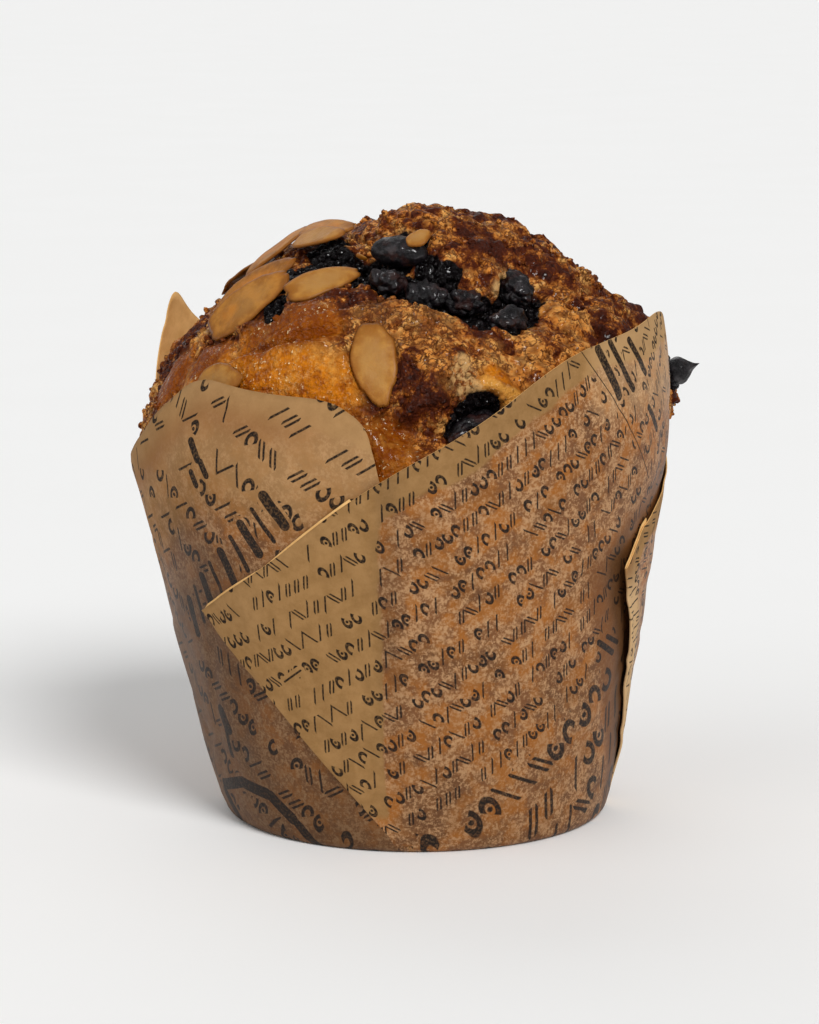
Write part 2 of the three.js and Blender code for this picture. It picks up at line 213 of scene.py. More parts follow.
def pebbles(points, size, seed):
    # distances to the nearest and the second nearest of scattered centres, in pebble sizes,
    # and a tone from 0 to 1 that is the same all over one pebble
    scaled = points / size
    cell = np.floor(scaled)
    nearest = np.full(len(points), 9.0)
    second = nearest.copy()
    tone = np.zeros(len(points))
    for step in np.ndindex(3, 3, 3):
        there = cell + np.array(step) - 1
        x, y, z = whole(there).T
        centre = np.stack([latticeValue(x, y, z, seed + k) for k in range(3)], axis=1) * 0.5 + 0.5
        distance = np.linalg.norm(there + centre - scaled, axis=1)
        tone = np.where(distance < nearest, centre[:, 0], tone)
        second = np.where(distance < nearest, nearest, np.minimum(second, distance))
        nearest = np.minimum(nearest, distance)
    return nearest, second, tone


# Meshes

def ball(detail):
    # a cube swollen to a ball of unit size: points and four-sided faces
    steps = np.tan(np.linspace(-1, 1, detail + 1) * math.pi / 4)
    a, b = (grid.ravel() for grid in np.meshgrid(steps, steps, indexing="ij"))
    index = np.arange((detail + 1) ** 2).reshape(detail + 1, detail + 1)
    quads = np.stack([index[:-1, :-1], index[1:, :-1], index[1:, 1:], index[:-1, 1:]], axis=-1).reshape(-1, 4)
    points, faces = [], []
    for side in range(6):
        axis, sign = side % 3, 1 - 2 * (side // 3)
        face = np.empty((len(a), 3))
        face[:, axis] = sign
        face[:, (axis + 1) % 3] = a * sign
        face[:, (axis + 2) % 3] = b
        points.append(face)
        faces.append(quads + side * len(a))
    points = np.concatenate(points)
    unique, inverse = np.unique(np.round(points, 6), axis=0, return_inverse=True)
    unique = unique / np.linalg.norm(unique, axis=1, keepdims=True)
    return unique, inverse.ravel()[np.concatenate(faces)]


def joined(parts):
    # several (points, faces) in one
    points, faces, start = [], [], 0
    for somePoints, someFaces in parts:
        points.append(somePoints)
        faces += [[corner + start for corner in face] for face in someFaces]
        start += len(somePoints)
    return np.concatenate(points), faces


def makePiece(name, points, faces, materials, painted=None, flatMap=None):
    mesh = bpy.data.meshes.new(name)
    mesh.from_pydata((np.asarray(points) * mm).tolist(), [], [list(map(int, face)) for face in faces])
    for material in materials:
        mesh.materials.append(material)
    for label, values in (painted or {}).items():
        mesh.attributes.new(label, "FLOAT", "POINT").data.foreach_set("value", np.asarray(values, np.float32))
    if flatMap is not None:
        corners = np.empty(len(mesh.loops), np.int64)
        mesh.loops.foreach_get("vertex_index", corners)
        layer = mesh.uv_layers.new(name="sheet")
        layer.data.foreach_set("uv", np.asarray(flatMap, np.float32)[corners].ravel())
    mesh.shade_smooth()
    piece = bpy.data.objects.new(name, mesh)
    bpy.context.scene.collection.objects.link(piece)
    return piece


def settled(piece):
    # the piece with its modifiers taken into its mesh
    mesh = bpy.data.meshes.new_from_object(piece.evaluated_get(bpy.context.evaluated_depsgraph_get()))
    piece.modifiers.clear()
    piece.data = mesh
    return piece


def handIn(piece, slot, *nodes):
    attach(piece, "root")
    if nodes:
        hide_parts(*nodes)


# The cup that the wrap is pressed into

cup = {
    "baseRadius": 29.0,
    "flare": 0.2015,
    "rimHeight": 52,
    "rimSoftness": 6,
    "lean": 0.05,
    "cornerRadius": 1.5,
    "cornerTurn": 75,
}


def wallRadius(z):
    above = cup["rimSoftness"] * (1 - np.exp(-np.maximum(0, z - cup["rimHeight"]) / cup["rimSoftness"]))
    return cup["baseRadius"] + cup["flare"] * (np.minimum(z, cup["rimHeight"]) + above)


def wallCentre(z):
    return -cup["lean"] * np.minimum(z, cup["rimHeight"])


def around(azimuth, radius, z, centreX=0.0):
    a = np.radians(azimuth)
    return np.stack(np.broadcast_arrays(centreX + radius * np.sin(a), -radius * np.cos(a), z), axis=-1)


def azimuthOf(points):
    return np.degrees(np.arctan2(points[:, 0], -points[:, 1]))


# The four petals of the wrap. Base runs from one fold's foot to the next, and the rim, in
# [azimuth, height], climbs from the fold's corner to the tip and drops behind the next petal.
# Print is the azimuth where the lines slope by the angle, and the place of the panel's print.
petals = {
    "front": {
        "base": [-3.5, 90],
        "rim": [[-55, 33.6], [-31, 42.3], [-4, 56.2], [16, 64], [36, 72.7], [58, 75], [74, 76.4],
                [86, 75.5], [93, 68], [96, 58], [99, 47]],
        "lift": 0.2, "leanFrom": 60, "leanBy": 0.6, "tuck": 30, "print": [12, 33, 0],
    },
    "right": {
        "base": [87, 181],
        "rim": [[55.5, 39.8], [69, 46.3], [92, 52.5], [107, 56.5], [120, 64.5], [134, 73], [148, 75],
                [157, 70], [162, 60], [166, 51], [169, 42]],
        "lift": 1.1, "leanFrom": 62, "leanBy": 1.0, "tuck": 8, "print": [110, -57, 300],
    },
    "back": {
        "base": [177, 271],
        "rim": [[139, 33.5], [165, 44.5], [190, 55], [214, 65], [231, 70.6], [242.4, 77.2], [244.5, 71],
                [247, 64], [250, 54], [255, 46]],
        "lift": 0.5, "leanFrom": 62, "leanBy": 0.8, "tuck": 10, "print": [200, 215, 600],
    },
    "left": {
        "base": [-93, -1],
        "rim": [[-144, 33.5], [-118, 43], [-92, 52.5], [-77, 56], [-63, 62], [-49, 69], [-31, 67.6],
                [-14, 67.2], [-6.5, 64], [-4.2, 58], [-2, 50]],
        "lift": 0.5, "leanFrom": 56, "leanBy": 1.8, "tuck": 10, "print": [-42, -35, -300],
    },
}
beforePetal = {"front": "left", "right": "front", "back": "right", "left": "back"}


def turned(azimuth, start):
    return np.mod(azimuth - start, 360) + start


def rimAt(petal, azimuth):
    # height of a petal's edge at an azimuth, 0 where the petal isn't
    rim = np.array(petal["rim"], float)
    return np.interp(turned(azimuth, rim[0, 0]), rim[:, 0], rim[:, 1], right=0)


def paperTop(azimuth):
    return np.max([rimAt(petal, azimuth) for petal in petals.values()], axis=0)


def leaning(petal, z):
    return petal["leanBy"] * (np.maximum(0, z - petal["leanFrom"]) / 10) ** 2


# Cake relief: places on the dome are [azimuth, angle from the top], in degrees

cake = {
    "domeBase": 52,
    "domeRadius": 38.7,
    "domeHeight": 38.4,
    "uprightAgain": 0.11,
    "cragHeight": 0.9,
    "overhang": 5,
    "bottom": 1.05,
    "detail": 128,       # faces along each side of the swollen cube
    "domeShare": 0.8,
    "sideShare": 0.93,
    "paperGap": 0.45,
    "wallGap": 1.1,
    "granuleHeight": 0.42,
}
lumps = [
    ([62, 24], 10, 0.4), ([20, 12], 6, 1.0), ([-76, 32], 13, -1.8), ([4, 57], 8, 1.8),
    ([-24, 55], 6.5, 1.4), ([-34, 66], 7, 1.1), ([45, 62], 7, 1.6), ([72, 58], 6, 1.4),
    ([21, 66], 2.6, 2.0), ([7, 68], 3, 1.3), ([-62, 50], 7, 0.8), ([-100, 60], 8, 1.6),
    ([108, 73], 5.5, 6.0), ([150, 58], 9, 2.0), ([196, 34], 9, 1.8), ([222, 62], 8, 2.0),
]
clefts = [
    ([[-26, 23], [-16, 29.5], [-2, 34.5], [9, 38.5], [22, 42.5], [36, 44.5], [46, 38.5]], 4.2, 4.2),
    ([[75, 42], [66, 53], [63, 64]], 1.8, 2.2),
    ([[-2, 73], [8, 75], [19, 71]], 2.4, 2.6),
    ([[-26, 24], [-57, 14], [-131, 15], [-147, 26], [-150, 40]], 2.6, 1.8),
    ([[150, 26], [172, 40], [186, 50], [212, 46]], 2.8, 3.6),
    ([[118, 58], [128, 66], [132, 78]], 2.0, 2.2),
]
# finer forms, only in the looks
fineLumps = [
    ([-88, 50], 12, -2.3), ([-128, 17], 7, -2.4), ([97, 57], 6.5, 3.6), ([100, 45], 4.5, -1.6),
    ([105, 31], 5, 0.3), ([115, 23], 4, -0.7), ([103, 80], 4.5, 3.0), ([-15, 33], 2.2, 2.2),
    ([37, 36], 2.6, 1.2), ([12, 62], 3.2, 0.9), ([52, 26], 4, 0.8), ([22, 24], 4, 0.9), ([72, 40], 4, 0.9),
    ([63, 53], 3, 0.8), ([34, 62], 3.4, 0.8), ([-33, 49], 5, 0.8), ([-20, 63], 5, 0.7), ([-4, 62], 3, 0.8),
    ([-138, 12.5], 3.5, -2.0), ([-62, 13], 3.5, -1.6), ([-160, 11], 5, -0.8),
    ([-40, 5], 6, -0.8), ([23, 70], 2.8, 1.3), ([-109, 28], 4, 1.0),
]
fineClefts = [
    ([[-16, 52], [-24, 54], [-30, 56.5], [-35, 58.5], [-42, 58], [-51, 61.5]], 0.8, 0.9),
    ([[-36, 60], [-45, 65], [-50, 70]], 0.9, 0.6),
    ([[57, 43], [61, 50], [61, 58], [57, 66]], 1.3, 1.7),
    ([[12, 60], [10, 64], [11, 69], [5, 70]], 0.9, 1.0),
    ([[80, 45], [92, 50], [104, 60]], 1.4, 1.4),
    ([[-4, 58], [3, 62], [-1, 68], [-6, 72]], 0.8, 0.9),
    ([[24, 56], [33, 58], [42, 62]], 0.8, 0.8),
]
ledges = [
    ([[-12, 45], [-34, 54], [-48, 61]], 5, 1.9),
    ([[-16, 56], [-38, 59], [-54, 67]], 5, 1.7),
    ([[-150, 32], [-131, 13], [-50, 10], [-22, 21]], 7, 2.0),
    ([[244, 56], [222, 50], [200, 58]], 5, 1.9),
]


def onDome(azimuth, polar):
    p = np.radians(polar)
    return around(azimuth, cake["domeRadius"] * np.sin(p), cake["domeHeight"] * np.cos(p))


def domeNormal(azimuth, polar):
    p = np.radians(polar)
    normal = around(azimuth, np.sin(p) / cake["domeRadius"], np.cos(p) / cake["domeHeight"])
    return normal / np.linalg.norm(normal, axis=-1, keepdims=True)


def nearestOnPath(points, path):
    # distance to a chain of places, and the side of it: 1 is left, -1 is right
    best = np.full(len(points), np.inf)
    side = np.ones(len(points))
    for start, end in zip(path, path[1:]):
        start = onDome(*start)
        run = onDome(*end) - start
        offset = points - start
        along = np.clip(offset @ run / (run @ run), 0, 1)
        offset = offset - along[:, None] * run
        distance = np.linalg.norm(offset, axis=1)
        nearer = distance < best
        best = np.where(nearer, distance, best)
        hand = np.sign(np.einsum("ij,ij->i", np.cross(run, offset), points))
        side = np.where(nearer, np.where(hand == 0, 1, hand), side)
    return best, side


def cragginess(points):
    distance = np.linalg.norm(points - onDome(-32, 62), axis=1)
    return lerp(0.3, 1, smoothstep(distance, 8, 16))


def addLumps(total, points, places):
    for at, spread, height in places:
        total += height * np.exp(-np.sum((points - onDome(*at)) ** 2, axis=1) / spread ** 2)


def cutClefts(total, points, paths):
    for path, width, depth in paths:
        distance, _ = nearestOnPath(points, path)
        total -= depth * np.exp(-((distance / width) ** 2))


def relief(points):
    total = np.zeros(len(points))
    addLumps(total, points, lumps)
    cutClefts(total, points, clefts)
    for path, width, height in ledges:
        distance, side = nearestOnPath(points, path)
        raised = smoothstep(side * distance, -0.7, 0.7)
        total += height * (raised - 0.35) * np.exp(-distance / width)
    crags = noise(points, 7, seeds["crags"]) + 0.6 * noise(points, 3.4, seeds["smallCrags"])
    addLumps(total, points, fineLumps)
    return total + cake["cragHeight"] * crags * cragginess(points)


def cakeCentre(z):
    return -cup["lean"] * z + cake["uprightAgain"] * np.maximum(0, z - cake["domeBase"])


def insideWrap(azimuth, z):
    # the farthest that the cake may reach from the cup's axis
    limit = wallRadius(z) - cake["paperGap"] + cake["overhang"] * smoothstep(z - paperTop(azimuth), 0.6, 5.0)
    for petal in petals.values():
        inside = wallRadius(z) - leaning(petal, z) - cake["paperGap"]
        limit = np.where(rimAt(petal, azimuth) > z - 0.6, np.minimum(limit, inside), limit)
    return limit


def keptInside(points, azimuth):
    z = points[:, 2]
    fromAxis = points[:, :2] - np.stack([wallCentre(z), np.zeros(len(z))], axis=1)
    reach = np.linalg.norm(fromAxis, axis=1)
    scale = np.minimum(1, insideWrap(azimuth, z) / np.maximum(reach, 1e-6))
    points[:, :2] += fromAxis * (scale - 1)[:, None]
    return points


def domePoint(azimuth, polar, extra=0.0):
    p = np.radians(polar)
    z = cake["domeBase"] + cake["domeHeight"] * np.cos(p)
    height = relief(onDome(azimuth, polar)) * smoothstep(z, 50, 60) + extra
    place = around(azimuth, cake["domeRadius"] * np.sin(p), z, cakeCentre(z))
    return keptInside(place + domeNormal(azimuth, polar) * height[:, None], azimuth)


# Where the crust is of another kind: places on the dome, each with a spread in millimetres

crustPaint = {
    "golden": [([-33, 63], 10), ([-27, 51], 5.5), ([-40, 56], 6.5), ([-58, 66], 8), ([-19, 69], 8),
               ([-5, 78], 6), ([-76, 66], 6), ([22, 69], 3.6), ([21, 63], 2.6),
               ([150, 58], 7), ([222, 62], 8), ([-110, 66], 7)],
    "juice": [([-40, 29], 6.5), ([-50, 36], 5), ([-45, 46], 2.6), ([-25, 25], 5), ([-30, 33], 4),
              ([-12, 32], 4), ([-64, 22], 4), ([-2, 36], 5.2), ([9, 39], 5.2), ([-8, 25], 4.4), ([6, 31], 3),
              ([14, 33], 2.6), ([27, 42], 3.4), ([16.5, 73.5], 4.6), ([23, 45], 4.6), ([36, 45], 4.6),
              ([42, 40], 4), ([30, 49], 2.8), ([180, 46], 6), ([105, 71], 4)],
    "pale": [([12, 63], 3.0), ([6, 50], 4.6), ([-9, 47], 4.5), ([33, 39], 2.4), ([-14, 31], 2.2),
             ([36, 35], 2), ([17, 66], 3), ([22, 56], 2.6), ([23, 70], 3.2), ([196, 50], 5)],
    "cream": [([13, 60], 1.3), ([13.5, 63], 1.3), ([14.5, 66.5], 1.5), ([33, 38], 1.5), ([36, 35], 1.3)],
    "dark": [([-67, 33], 4.5), ([-75, 26], 3), ([14, 27], 6), ([62, 15], 6), ([66, 28], 5), ([84, 58], 9),
             ([66, 50], 5), ([58, 37], 6), ([40, 56], 4), ([-18, 42], 6), ([30, 26], 6), ([6, 69], 6),
             ([-76, 68], 7), ([-62, 60], 5), ([-30, 46], 5), ([0, 60], 4), ([120, 60], 10), ([-120, 40], 10),
             ([180, 70], 10), ([-38, 51], 7), ([-27, 52], 5), ([58, 57], 3), ([-5, 75], 6.5),
             ([-88, 62], 8), ([-92, 48], 5), ([22, 68], 2.5), ([-4, 47], 3), ([20, 50], 3), ([4, 60], 4)],
    "orange": [([52, 51], 4.6), ([62, 24], 4), ([56, 10], 3.4), ([12, 22], 4), ([68, 47], 2.6),
               ([26, 63], 3.6), ([-5, 56], 3), ([-16, 34], 3), ([30, 33], 3.5), ([46, 44], 2.4),
               ([78, 50], 2.4), ([34, 58], 4), ([42, 58], 4), ([6, 58], 3), ([60, 42], 2.6)],
}


def paintedCrust(points):
    wobble = 1.6 * layered(points, 5, seeds["paintEdges"], 4)
    shares = {}
    for name, spots in crustPaint.items():
        share = np.zeros(len(points))
        for at, spread in spots:
            distance = np.linalg.norm(points - onDome(*at), axis=1) + wobble
            share = np.maximum(share, 1 - smoothstep(distance, 0.62 * spread, 1.1 * spread))
        shares[name] = share
    shares["golden"] *= 1 - shares["juice"]
    shares["pale"] *= 1 - shares["juice"]
    return shares


def fineCrust(points, shares):
    # crumb lumps, granules and the soft folds of the golden lobes, in millimetres
    loose = warped(points, 1.0, 2.6, seeds["crustDrift"])
    big, bigSecond, bigTone = pebbles(loose, 3.1, seeds["crustLumps"])
    small, _, smallTone = pebbles(loose, 1.3, seeds["crustGrains"])
    cracks = np.exp(-((bigSecond - big) / 0.14) ** 2)
    rough = 1 - 0.9 * shares["golden"]
    height = rough * (0.9 * (0.5 - big) - 0.2 * cracks + cake["granuleHeight"] * (0.52 - small))
    height += rough * 0.42 * layered(points, 2.4, seeds["crustFolds"], 3)
    folds = 0.35 * layered(points, 4.2, seeds["lobeFolds"], 2) + 0.07 * noise(points, 0.9, seeds["lobeGrain"])
    height += folds * shares["golden"]
    cutClefts(height, points, fineClefts)
    # painted shade in the cracks and in the hollows between granules
    hollow = np.maximum(cracks * 0.35, smoothstep(small, 0.42, 0.78))
    tone = 0.5 * smallTone + 0.3 * bigTone + 0.2 * (0.5 + 0.5 * noise(points, 6, seeds["crustTone"]))
    return height - 0.9 * shares["juice"], hollow, tone


def shapeCake():
    directions, faces = ball(cake["detail"])
    azimuth = azimuthOf(directions)
    along = np.arccos(np.clip(directions[:, 2], -1, 1)) / math.pi
    polar = np.minimum(90 * along / cake["domeShare"], 90)
    onCrust = onDome(azimuth, polar)
    shares = paintedCrust(onCrust)
    fine, shares["hollow"], shares["tone"] = fineCrust(onCrust, shares)
    fade = smoothstep(90 - polar, 4, 12)
    points = domePoint(azimuth, polar, fine * fade)
    down = np.clip((along - cake["domeShare"]) / (cake["sideShare"] - cake["domeShare"]), 0, 1)
    z = lerp(cake["domeBase"], cake["bottom"], down)
    short = np.maximum(0, cup["cornerRadius"] - (z - cake["bottom"]))
    rounding = cup["cornerRadius"] - np.sqrt(cup["cornerRadius"] ** 2 - short ** 2)
    side = around(azimuth, wallRadius(z) - cake["wallGap"] - rounding, z, cakeCentre(z))
    outward = (1 - along) / (1 - cake["sideShare"])
    under = (wallRadius(cake["bottom"]) - cake["wallGap"] - cup["cornerRadius"]) * outward
    base = around(azimuth, under, np.full(len(under), float(cake["bottom"])))
    points = np.where((along > cake["domeShare"])[:, None], side, points)
    points = np.where((along > cake["sideShare"])[:, None], base, points)
    for flake in flakes.values():
        points = pressedUnder(points, flake)
    return points, faces, shares


# Finishes of the crust

crustGrain = {"size": 1.05, "bump": 0.55, "lace": 0.065, "net": 0.042, "level": 0.605, "contrast": 2.4}
crustColours = {
    "gold": "d07a10", "deepGold": "8a4206", "amber": "e0a148", "brownGold": "7c3a02", "paintedGlint": "f6dfae",
    "light": "e4a85c", "tan": "ca7c34", "brown": "8f4c14", "red": "5a240c", "burnt": "2a110b",
    "orange": "d48434", "crumb": "c08c4c", "cream": "c79d66", "juice": "0a0607", "juiceBloom": "40373a",
}
# Where each colour of the grain stands on its ramp
crustTones = {"burnt": 0.24, "red": 0.38, "brown": 0.49, "tan": 0.62, "light": 0.84}


def crustLook():
    material, g = startLook("baked crust")
    colour = {name: srgb(text) for name, text in crustColours.items()}
    place = g.placeInMm()
    golden, juice = g.painted("golden"), g.painted("juice")
    pale, dark, orange, cream = (g.painted(name) for name in ("pale", "dark", "orange", "cream"))
    hollow, tone = g.painted("hollow"), g.painted("tone")
    broad = g.noise(place, 6.5, 3.0, 0.6)
    middle = g.noise(place, 1.9, 4.0, 0.65)
    fine = g.noise(place, 0.42, 3.0, 0.65)
    push = g.noise(place, 1.4, 2.0, 0.5, output=1)
    loose = g.node("ShaderNodeVectorMath", {"operation": "ADD"}, {0: place, 1: push})
    granule = g.cells(loose, crustGrain["size"])
    chance = Wire(g, granule.socket.node.outputs["Color"])
    # painted shade: darker in the crevices between the granules
    gapShade = g.smooth(granule, 0.3, 0.75)
    threads = g.maths("ABSOLUTE", g.noise(place, 2.4, 3.0, 0.7) - 0.5)
    lace = g.smooth(crustGrain["lace"] - threads, 0.0, 0.05) * g.smooth(broad + 0.2 * dark, 0.38, 0.5)
    strands = g.maths("ABSOLUTE", g.noise(loose, 1.5, 2.0, 0.6) - 0.5)
    net = g.smooth(crustGrain["net"] - strands, 0.0, 0.03)
    net = net * g.smooth(middle + 0.25 * dark + 0.22 * pale, 0.42, 0.56)

    gold = g.mix(g.smooth(middle, 0.34, 0.62), colour["deepGold"], colour["gold"])
    gold = g.mix(g.smooth(broad + 0.4 * (fine - 0.5), 0.5, 0.7) * 0.6, gold, colour["amber"])
    # browner gold where the crust is dark, at random, and in the crevices as painted shade
    gold = g.mix(g.clamp(dark * 0.75 + 1.3 * (middle - 0.5) + 0.3 * gapShade), gold, colour["brownGold"])
    # painted highlights: small pale glints in clusters on the golden lobes
    paintedGlints = g.smooth(g.noise(place, 0.5, 2.0, 0.6), 0.62, 0.7) * g.smooth(g.noise(place, 4.0), 0.46, 0.6)
    gold = g.mix(paintedGlints * 0.8, gold, colour["paintedGlint"])
    patches = g.noise(loose, 3.4, 4.0, 0.68)
    level = crustGrain["contrast"] * (patches - 0.5) + 0.2 * (chance - 0.5) + 0.16 * (tone - 0.5)
    level = level + 0.6 * (middle - 0.5) + 0.5 * (broad - 0.5) + 0.25 * (fine - 0.5)
    level = level + crustGrain["level"] - 0.22 * dark + 0.03 * pale + 0.18 * orange
    stops = [(stop, colour[name]) for name, stop in crustTones.items()]
    grain = g.node("ShaderNodeValToRGB", {"stops": stops}, {"Fac": level})
    # orange patches, fainter in the crevices as painted shade
    grain = g.mix(orange * g.smooth(level, 0.42, 0.6) * (0.8 - 0.5 * gapShade), grain, colour["orange"])
    crumb = g.mix(g.smooth(middle, 0.4, 0.6), colour["tan"], colour["crumb"])
    grain = g.mix(pale * 0.62, grain, crumb)
    # the crust's own dark lace and veins, with painted shade in the gaps and hollows
    laceAndShade = g.maths("MAXIMUM", lace * 0.85, gapShade * g.smooth(0.85 - level, 0.0, 0.35) * 0.65)
    laceAndShade = g.maths("MAXIMUM", laceAndShade, hollow * (0.66 - 0.15 * pale))
    laceAndShade = g.maths("MAXIMUM", laceAndShade, net * (0.85 - 0.1 * pale))
    grain = g.mix(laceAndShade, grain, g.mix(broad, colour["burnt"], colour["red"]))
    gold = g.mix(pale * golden * 0.7, gold, colour["amber"])
    skin = g.mix(golden, grain, gold)
    skin = g.mix(cream * g.smooth(middle, 0.42, 0.54) * 0.8, skin, colour["cream"])
    wet = g.mix(g.smooth(fine, 0.56, 0.74) * 0.6, colour["juice"], colour["juiceBloom"])
    stain = g.smooth(juice + 0.6 * (middle - 0.5), 0.3, 0.5)
    skin = g.mix(stain, skin, wet)
    rough = 0.6 - 0.2 * golden - 0.2 * stain + 0.3 * (fine - 0.5)
    sockets = {
        "Base Color": skin, "Roughness": g.clamp(rough),
        "Coat Weight": g.clamp((0.5 + 0.3 * golden + 0.4 * stain) * g.smooth(fine, 0.52, 0.62)),
        "Coat Roughness": 0.13, "Specular IOR Level": 0.06,
        "Subsurface Weight": 0.04, "Subsurface Radius": (0.0012, 0.0006, 0.0003),
    }
    ripple = 0.65 * golden * g.noise(place, 1.0, 3.0, 0.6)
    pits = crustGrain["bump"] * granule * (1 - 0.6 * golden)
    finishLook(g, sockets, 0.24 * fine + 0.2 * middle + ripple - pits)
    return material


# Paper

paper = {
    "thickness": 0.14,
    "pleatStep": 0.6,
    "wrinkleDepth": 0.25,
    "wrinkleLength": 9,
    "foldRadius": 0.19,
    "peek": 0.4,          # how far a pleat's inner layer stands above the outer one
    "layerStep": 0.22,    # where the front becomes two layers
    "columns": 96,
    "tuckColumns": 20,
    "cornerRows": 5,
    "wallRows": 58,
    "plateRadius": 26.1,
}


def pastPetal(petal, azimuth, z):
    endAzimuth, endHeight = petal["rim"][-1]
    border = lerp(petal["base"][1], endAzimuth, np.minimum(z / endHeight, 1))
    return np.mod(azimuth - border + 180, 360) - 180


def pastFold(petal, azimuth, z):
    foldAzimuth, foldHeight = petal["rim"][0]
    return azimuth - lerp(petal["base"][0], foldAzimuth, np.minimum(z / foldHeight, 1))


def crumple(azimuth, z):
    # shallow dents and a few sharp creases, the same for every layer so that none cross
    place = around(azimuth, cup["baseRadius"], z)
    soft = 0.16 * layered(place, 14, seeds["paperDents"], 3)
    nearest, second, _ = pebbles(place, 13, seeds["paperCreases"])
    return soft - 0.22 * np.exp(-((second - nearest) / 0.09) ** 2) * smoothstep(z, 4, 14)


def wrapPoint(name, azimuth, length, inward):
    petal = petals[name]
    turn = length / cup["cornerRadius"]
    cornerLength = cup["cornerRadius"] * math.radians(cup["cornerTurn"])
    reach = cup["cornerRadius"] - inward
    cornerRadius = cup["baseRadius"] - cup["cornerRadius"] + reach * np.sin(turn)
    corner = around(azimuth, cornerRadius, cup["cornerRadius"] - reach * np.cos(turn))
    z = length
    shown = smoothstep(z, cornerLength, 12)
    onCup = around(azimuth, cup["baseRadius"], z)
    wrinkle = paper["wrinkleDepth"] * noise(onCup, paper["wrinkleLength"], seeds["wrinkles"])
    before = petals[beforePetal[name]]
    overlap = paper["pleatStep"] * (1 - smoothstep(pastPetal(before, azimuth, z), 8, 24))
    loose = np.exp(-((pastFold(petal, azimuth, z) / 6) ** 2)) * (1 - smoothstep(z, 44, 58))
    loose = loose * (0.15 + 0.85 * smoothstep(z, 18, 34))
    step = 0.0
    if name == "front":
        step = paper["layerStep"] * smoothstep(azimuth, -9, -7) * (1 - smoothstep(azimuth, 20, 50))
    outward = wrinkle + crumple(azimuth, z) + overlap + step + petal["lift"] * loose
    outward = shown * outward - leaning(petal, z)
    wall = around(azimuth, wallRadius(z) + outward - inward, z, wallCentre(z))
    return np.where((length <= cornerLength)[:, None], corner, wall)


def rimCurve(petal, across):
    rim = np.array(petal["rim"], float)
    steps = across * (len(rim) - 1)
    spread = [np.clip(steps + s, 0, len(rim) - 1) for s in (-0.3, -0.15, 0, 0.15, 0.3)]
    index = np.arange(len(rim))
    azimuth = np.mean([np.interp(s, index, rim[:, 0]) for s in spread], axis=0)
    height = np.mean([np.interp(s, index, rim[:, 1]) for s in spread], axis=0)
    return azimuth, height


def printPlace(petal, azimuth, z):
    # where a point of the wall lies on the flat sheet, turned so that lines of print run along U
    axis, angle, offset = petal["print"]
    slant = math.sqrt(1 + cup["flare"] ** 2)
    apex = cup["baseRadius"] * slant / cup["flare"]
    psi = np.radians(azimuth - axis) * cup["flare"] / slant
    radius = apex + z * slant
    x, y = radius * np.sin(psi), radius * np.cos(psi) - apex
    a = math.radians(angle)
    return np.stack([x * math.cos(a) + y * math.sin(a) + offset, y * math.cos(a) - x * math.sin(a)], axis=-1)


def petalSheet(name):
    petal = petals[name]
    cornerLength = cup["cornerRadius"] * math.radians(cup["cornerTurn"])
    across = np.linspace(0, 1, paper["columns"])
    rimAzimuth, rimHeight = rimCurve(petal, across)
    baseAzimuth = lerp(petal["base"][0], petal["base"][1], across)
    # columns of the tucked layer, from its far edge to the fold, then round the fold
    tuck = np.linspace(1, 0, paper["tuckColumns"], endpoint=False) * petal["tuck"]
    bend = np.linspace(math.pi, 0, 7)[:-1]
    rows = np.concatenate([
        np.linspace(0, cornerLength, paper["cornerRows"], endpoint=False),
        np.linspace(0, 1, paper["wallRows"] + 1) + cornerLength,
    ])
    grid, flat = [], []

    def column(baseAz, topAz, top, shiftMm, inward):
        inCorner = np.minimum(rows, cornerLength)
        share = np.clip(rows - cornerLength, 0, 1)
        length = inCorner + share * (top - cornerLength)
        azimuth = lerp(baseAz, topAz, length / top)
        azimuth = azimuth + np.degrees(shiftMm / wallRadius(length))
        grid.append(wrapPoint(name, azimuth, length, np.full(len(length), inward)))
        flat.append(printPlace(petal, azimuth, length))

    depth = 2 * paper["foldRadius"]
    for shift in tuck:
        top = rimHeight[0]
        for step in range(6):
            top = rimAt(petal, rimAzimuth[0] + np.degrees(shift / wallRadius(top))) + paper["peek"]
        column(baseAzimuth[0], rimAzimuth[0], float(top), shift, depth)
    for angle in bend:
        shift = -paper["foldRadius"] * math.sin(angle)
        inward = paper["foldRadius"] * (1 - math.cos(angle))
        column(baseAzimuth[0], rimAzimuth[0], rimHeight[0], shift, inward)
    for baseAz, topAz, top in zip(baseAzimuth, rimAzimuth, rimHeight):
        column(baseAz, topAz, top, 0.0, 0.0)
    grid, flat = np.array(grid), np.array(flat)
    columns, count = grid.shape[:2]
    index = np.arange(columns * count).reshape(columns, count)
    faces = np.stack([index[:-1, :-1], index[1:, :-1], index[1:, 1:], index[:-1, 1:]], axis=-1).reshape(-1, 4)
    return grid.reshape(-1, 3), faces, flat.reshape(-1, 2)


def basePlate():
    rings, sides = 16, 96
    points, faces = [np.zeros((1, 3))], []
    for ring in range(1, rings + 1):
        azimuth = np.arange(sides) * 360 / sides
        points.append(around(azimuth, paper["plateRadius"] * ring / rings, np.zeros(sides)))
        for i in range(sides):
            a, b = 1 + (ring - 1) * sides + i, 1 + (ring - 1) * sides + (i + 1) % sides
            faces.append([0, b, a] if ring == 1 else [a - sides, b - sides, b, a])
    return np.concatenate(points), faces


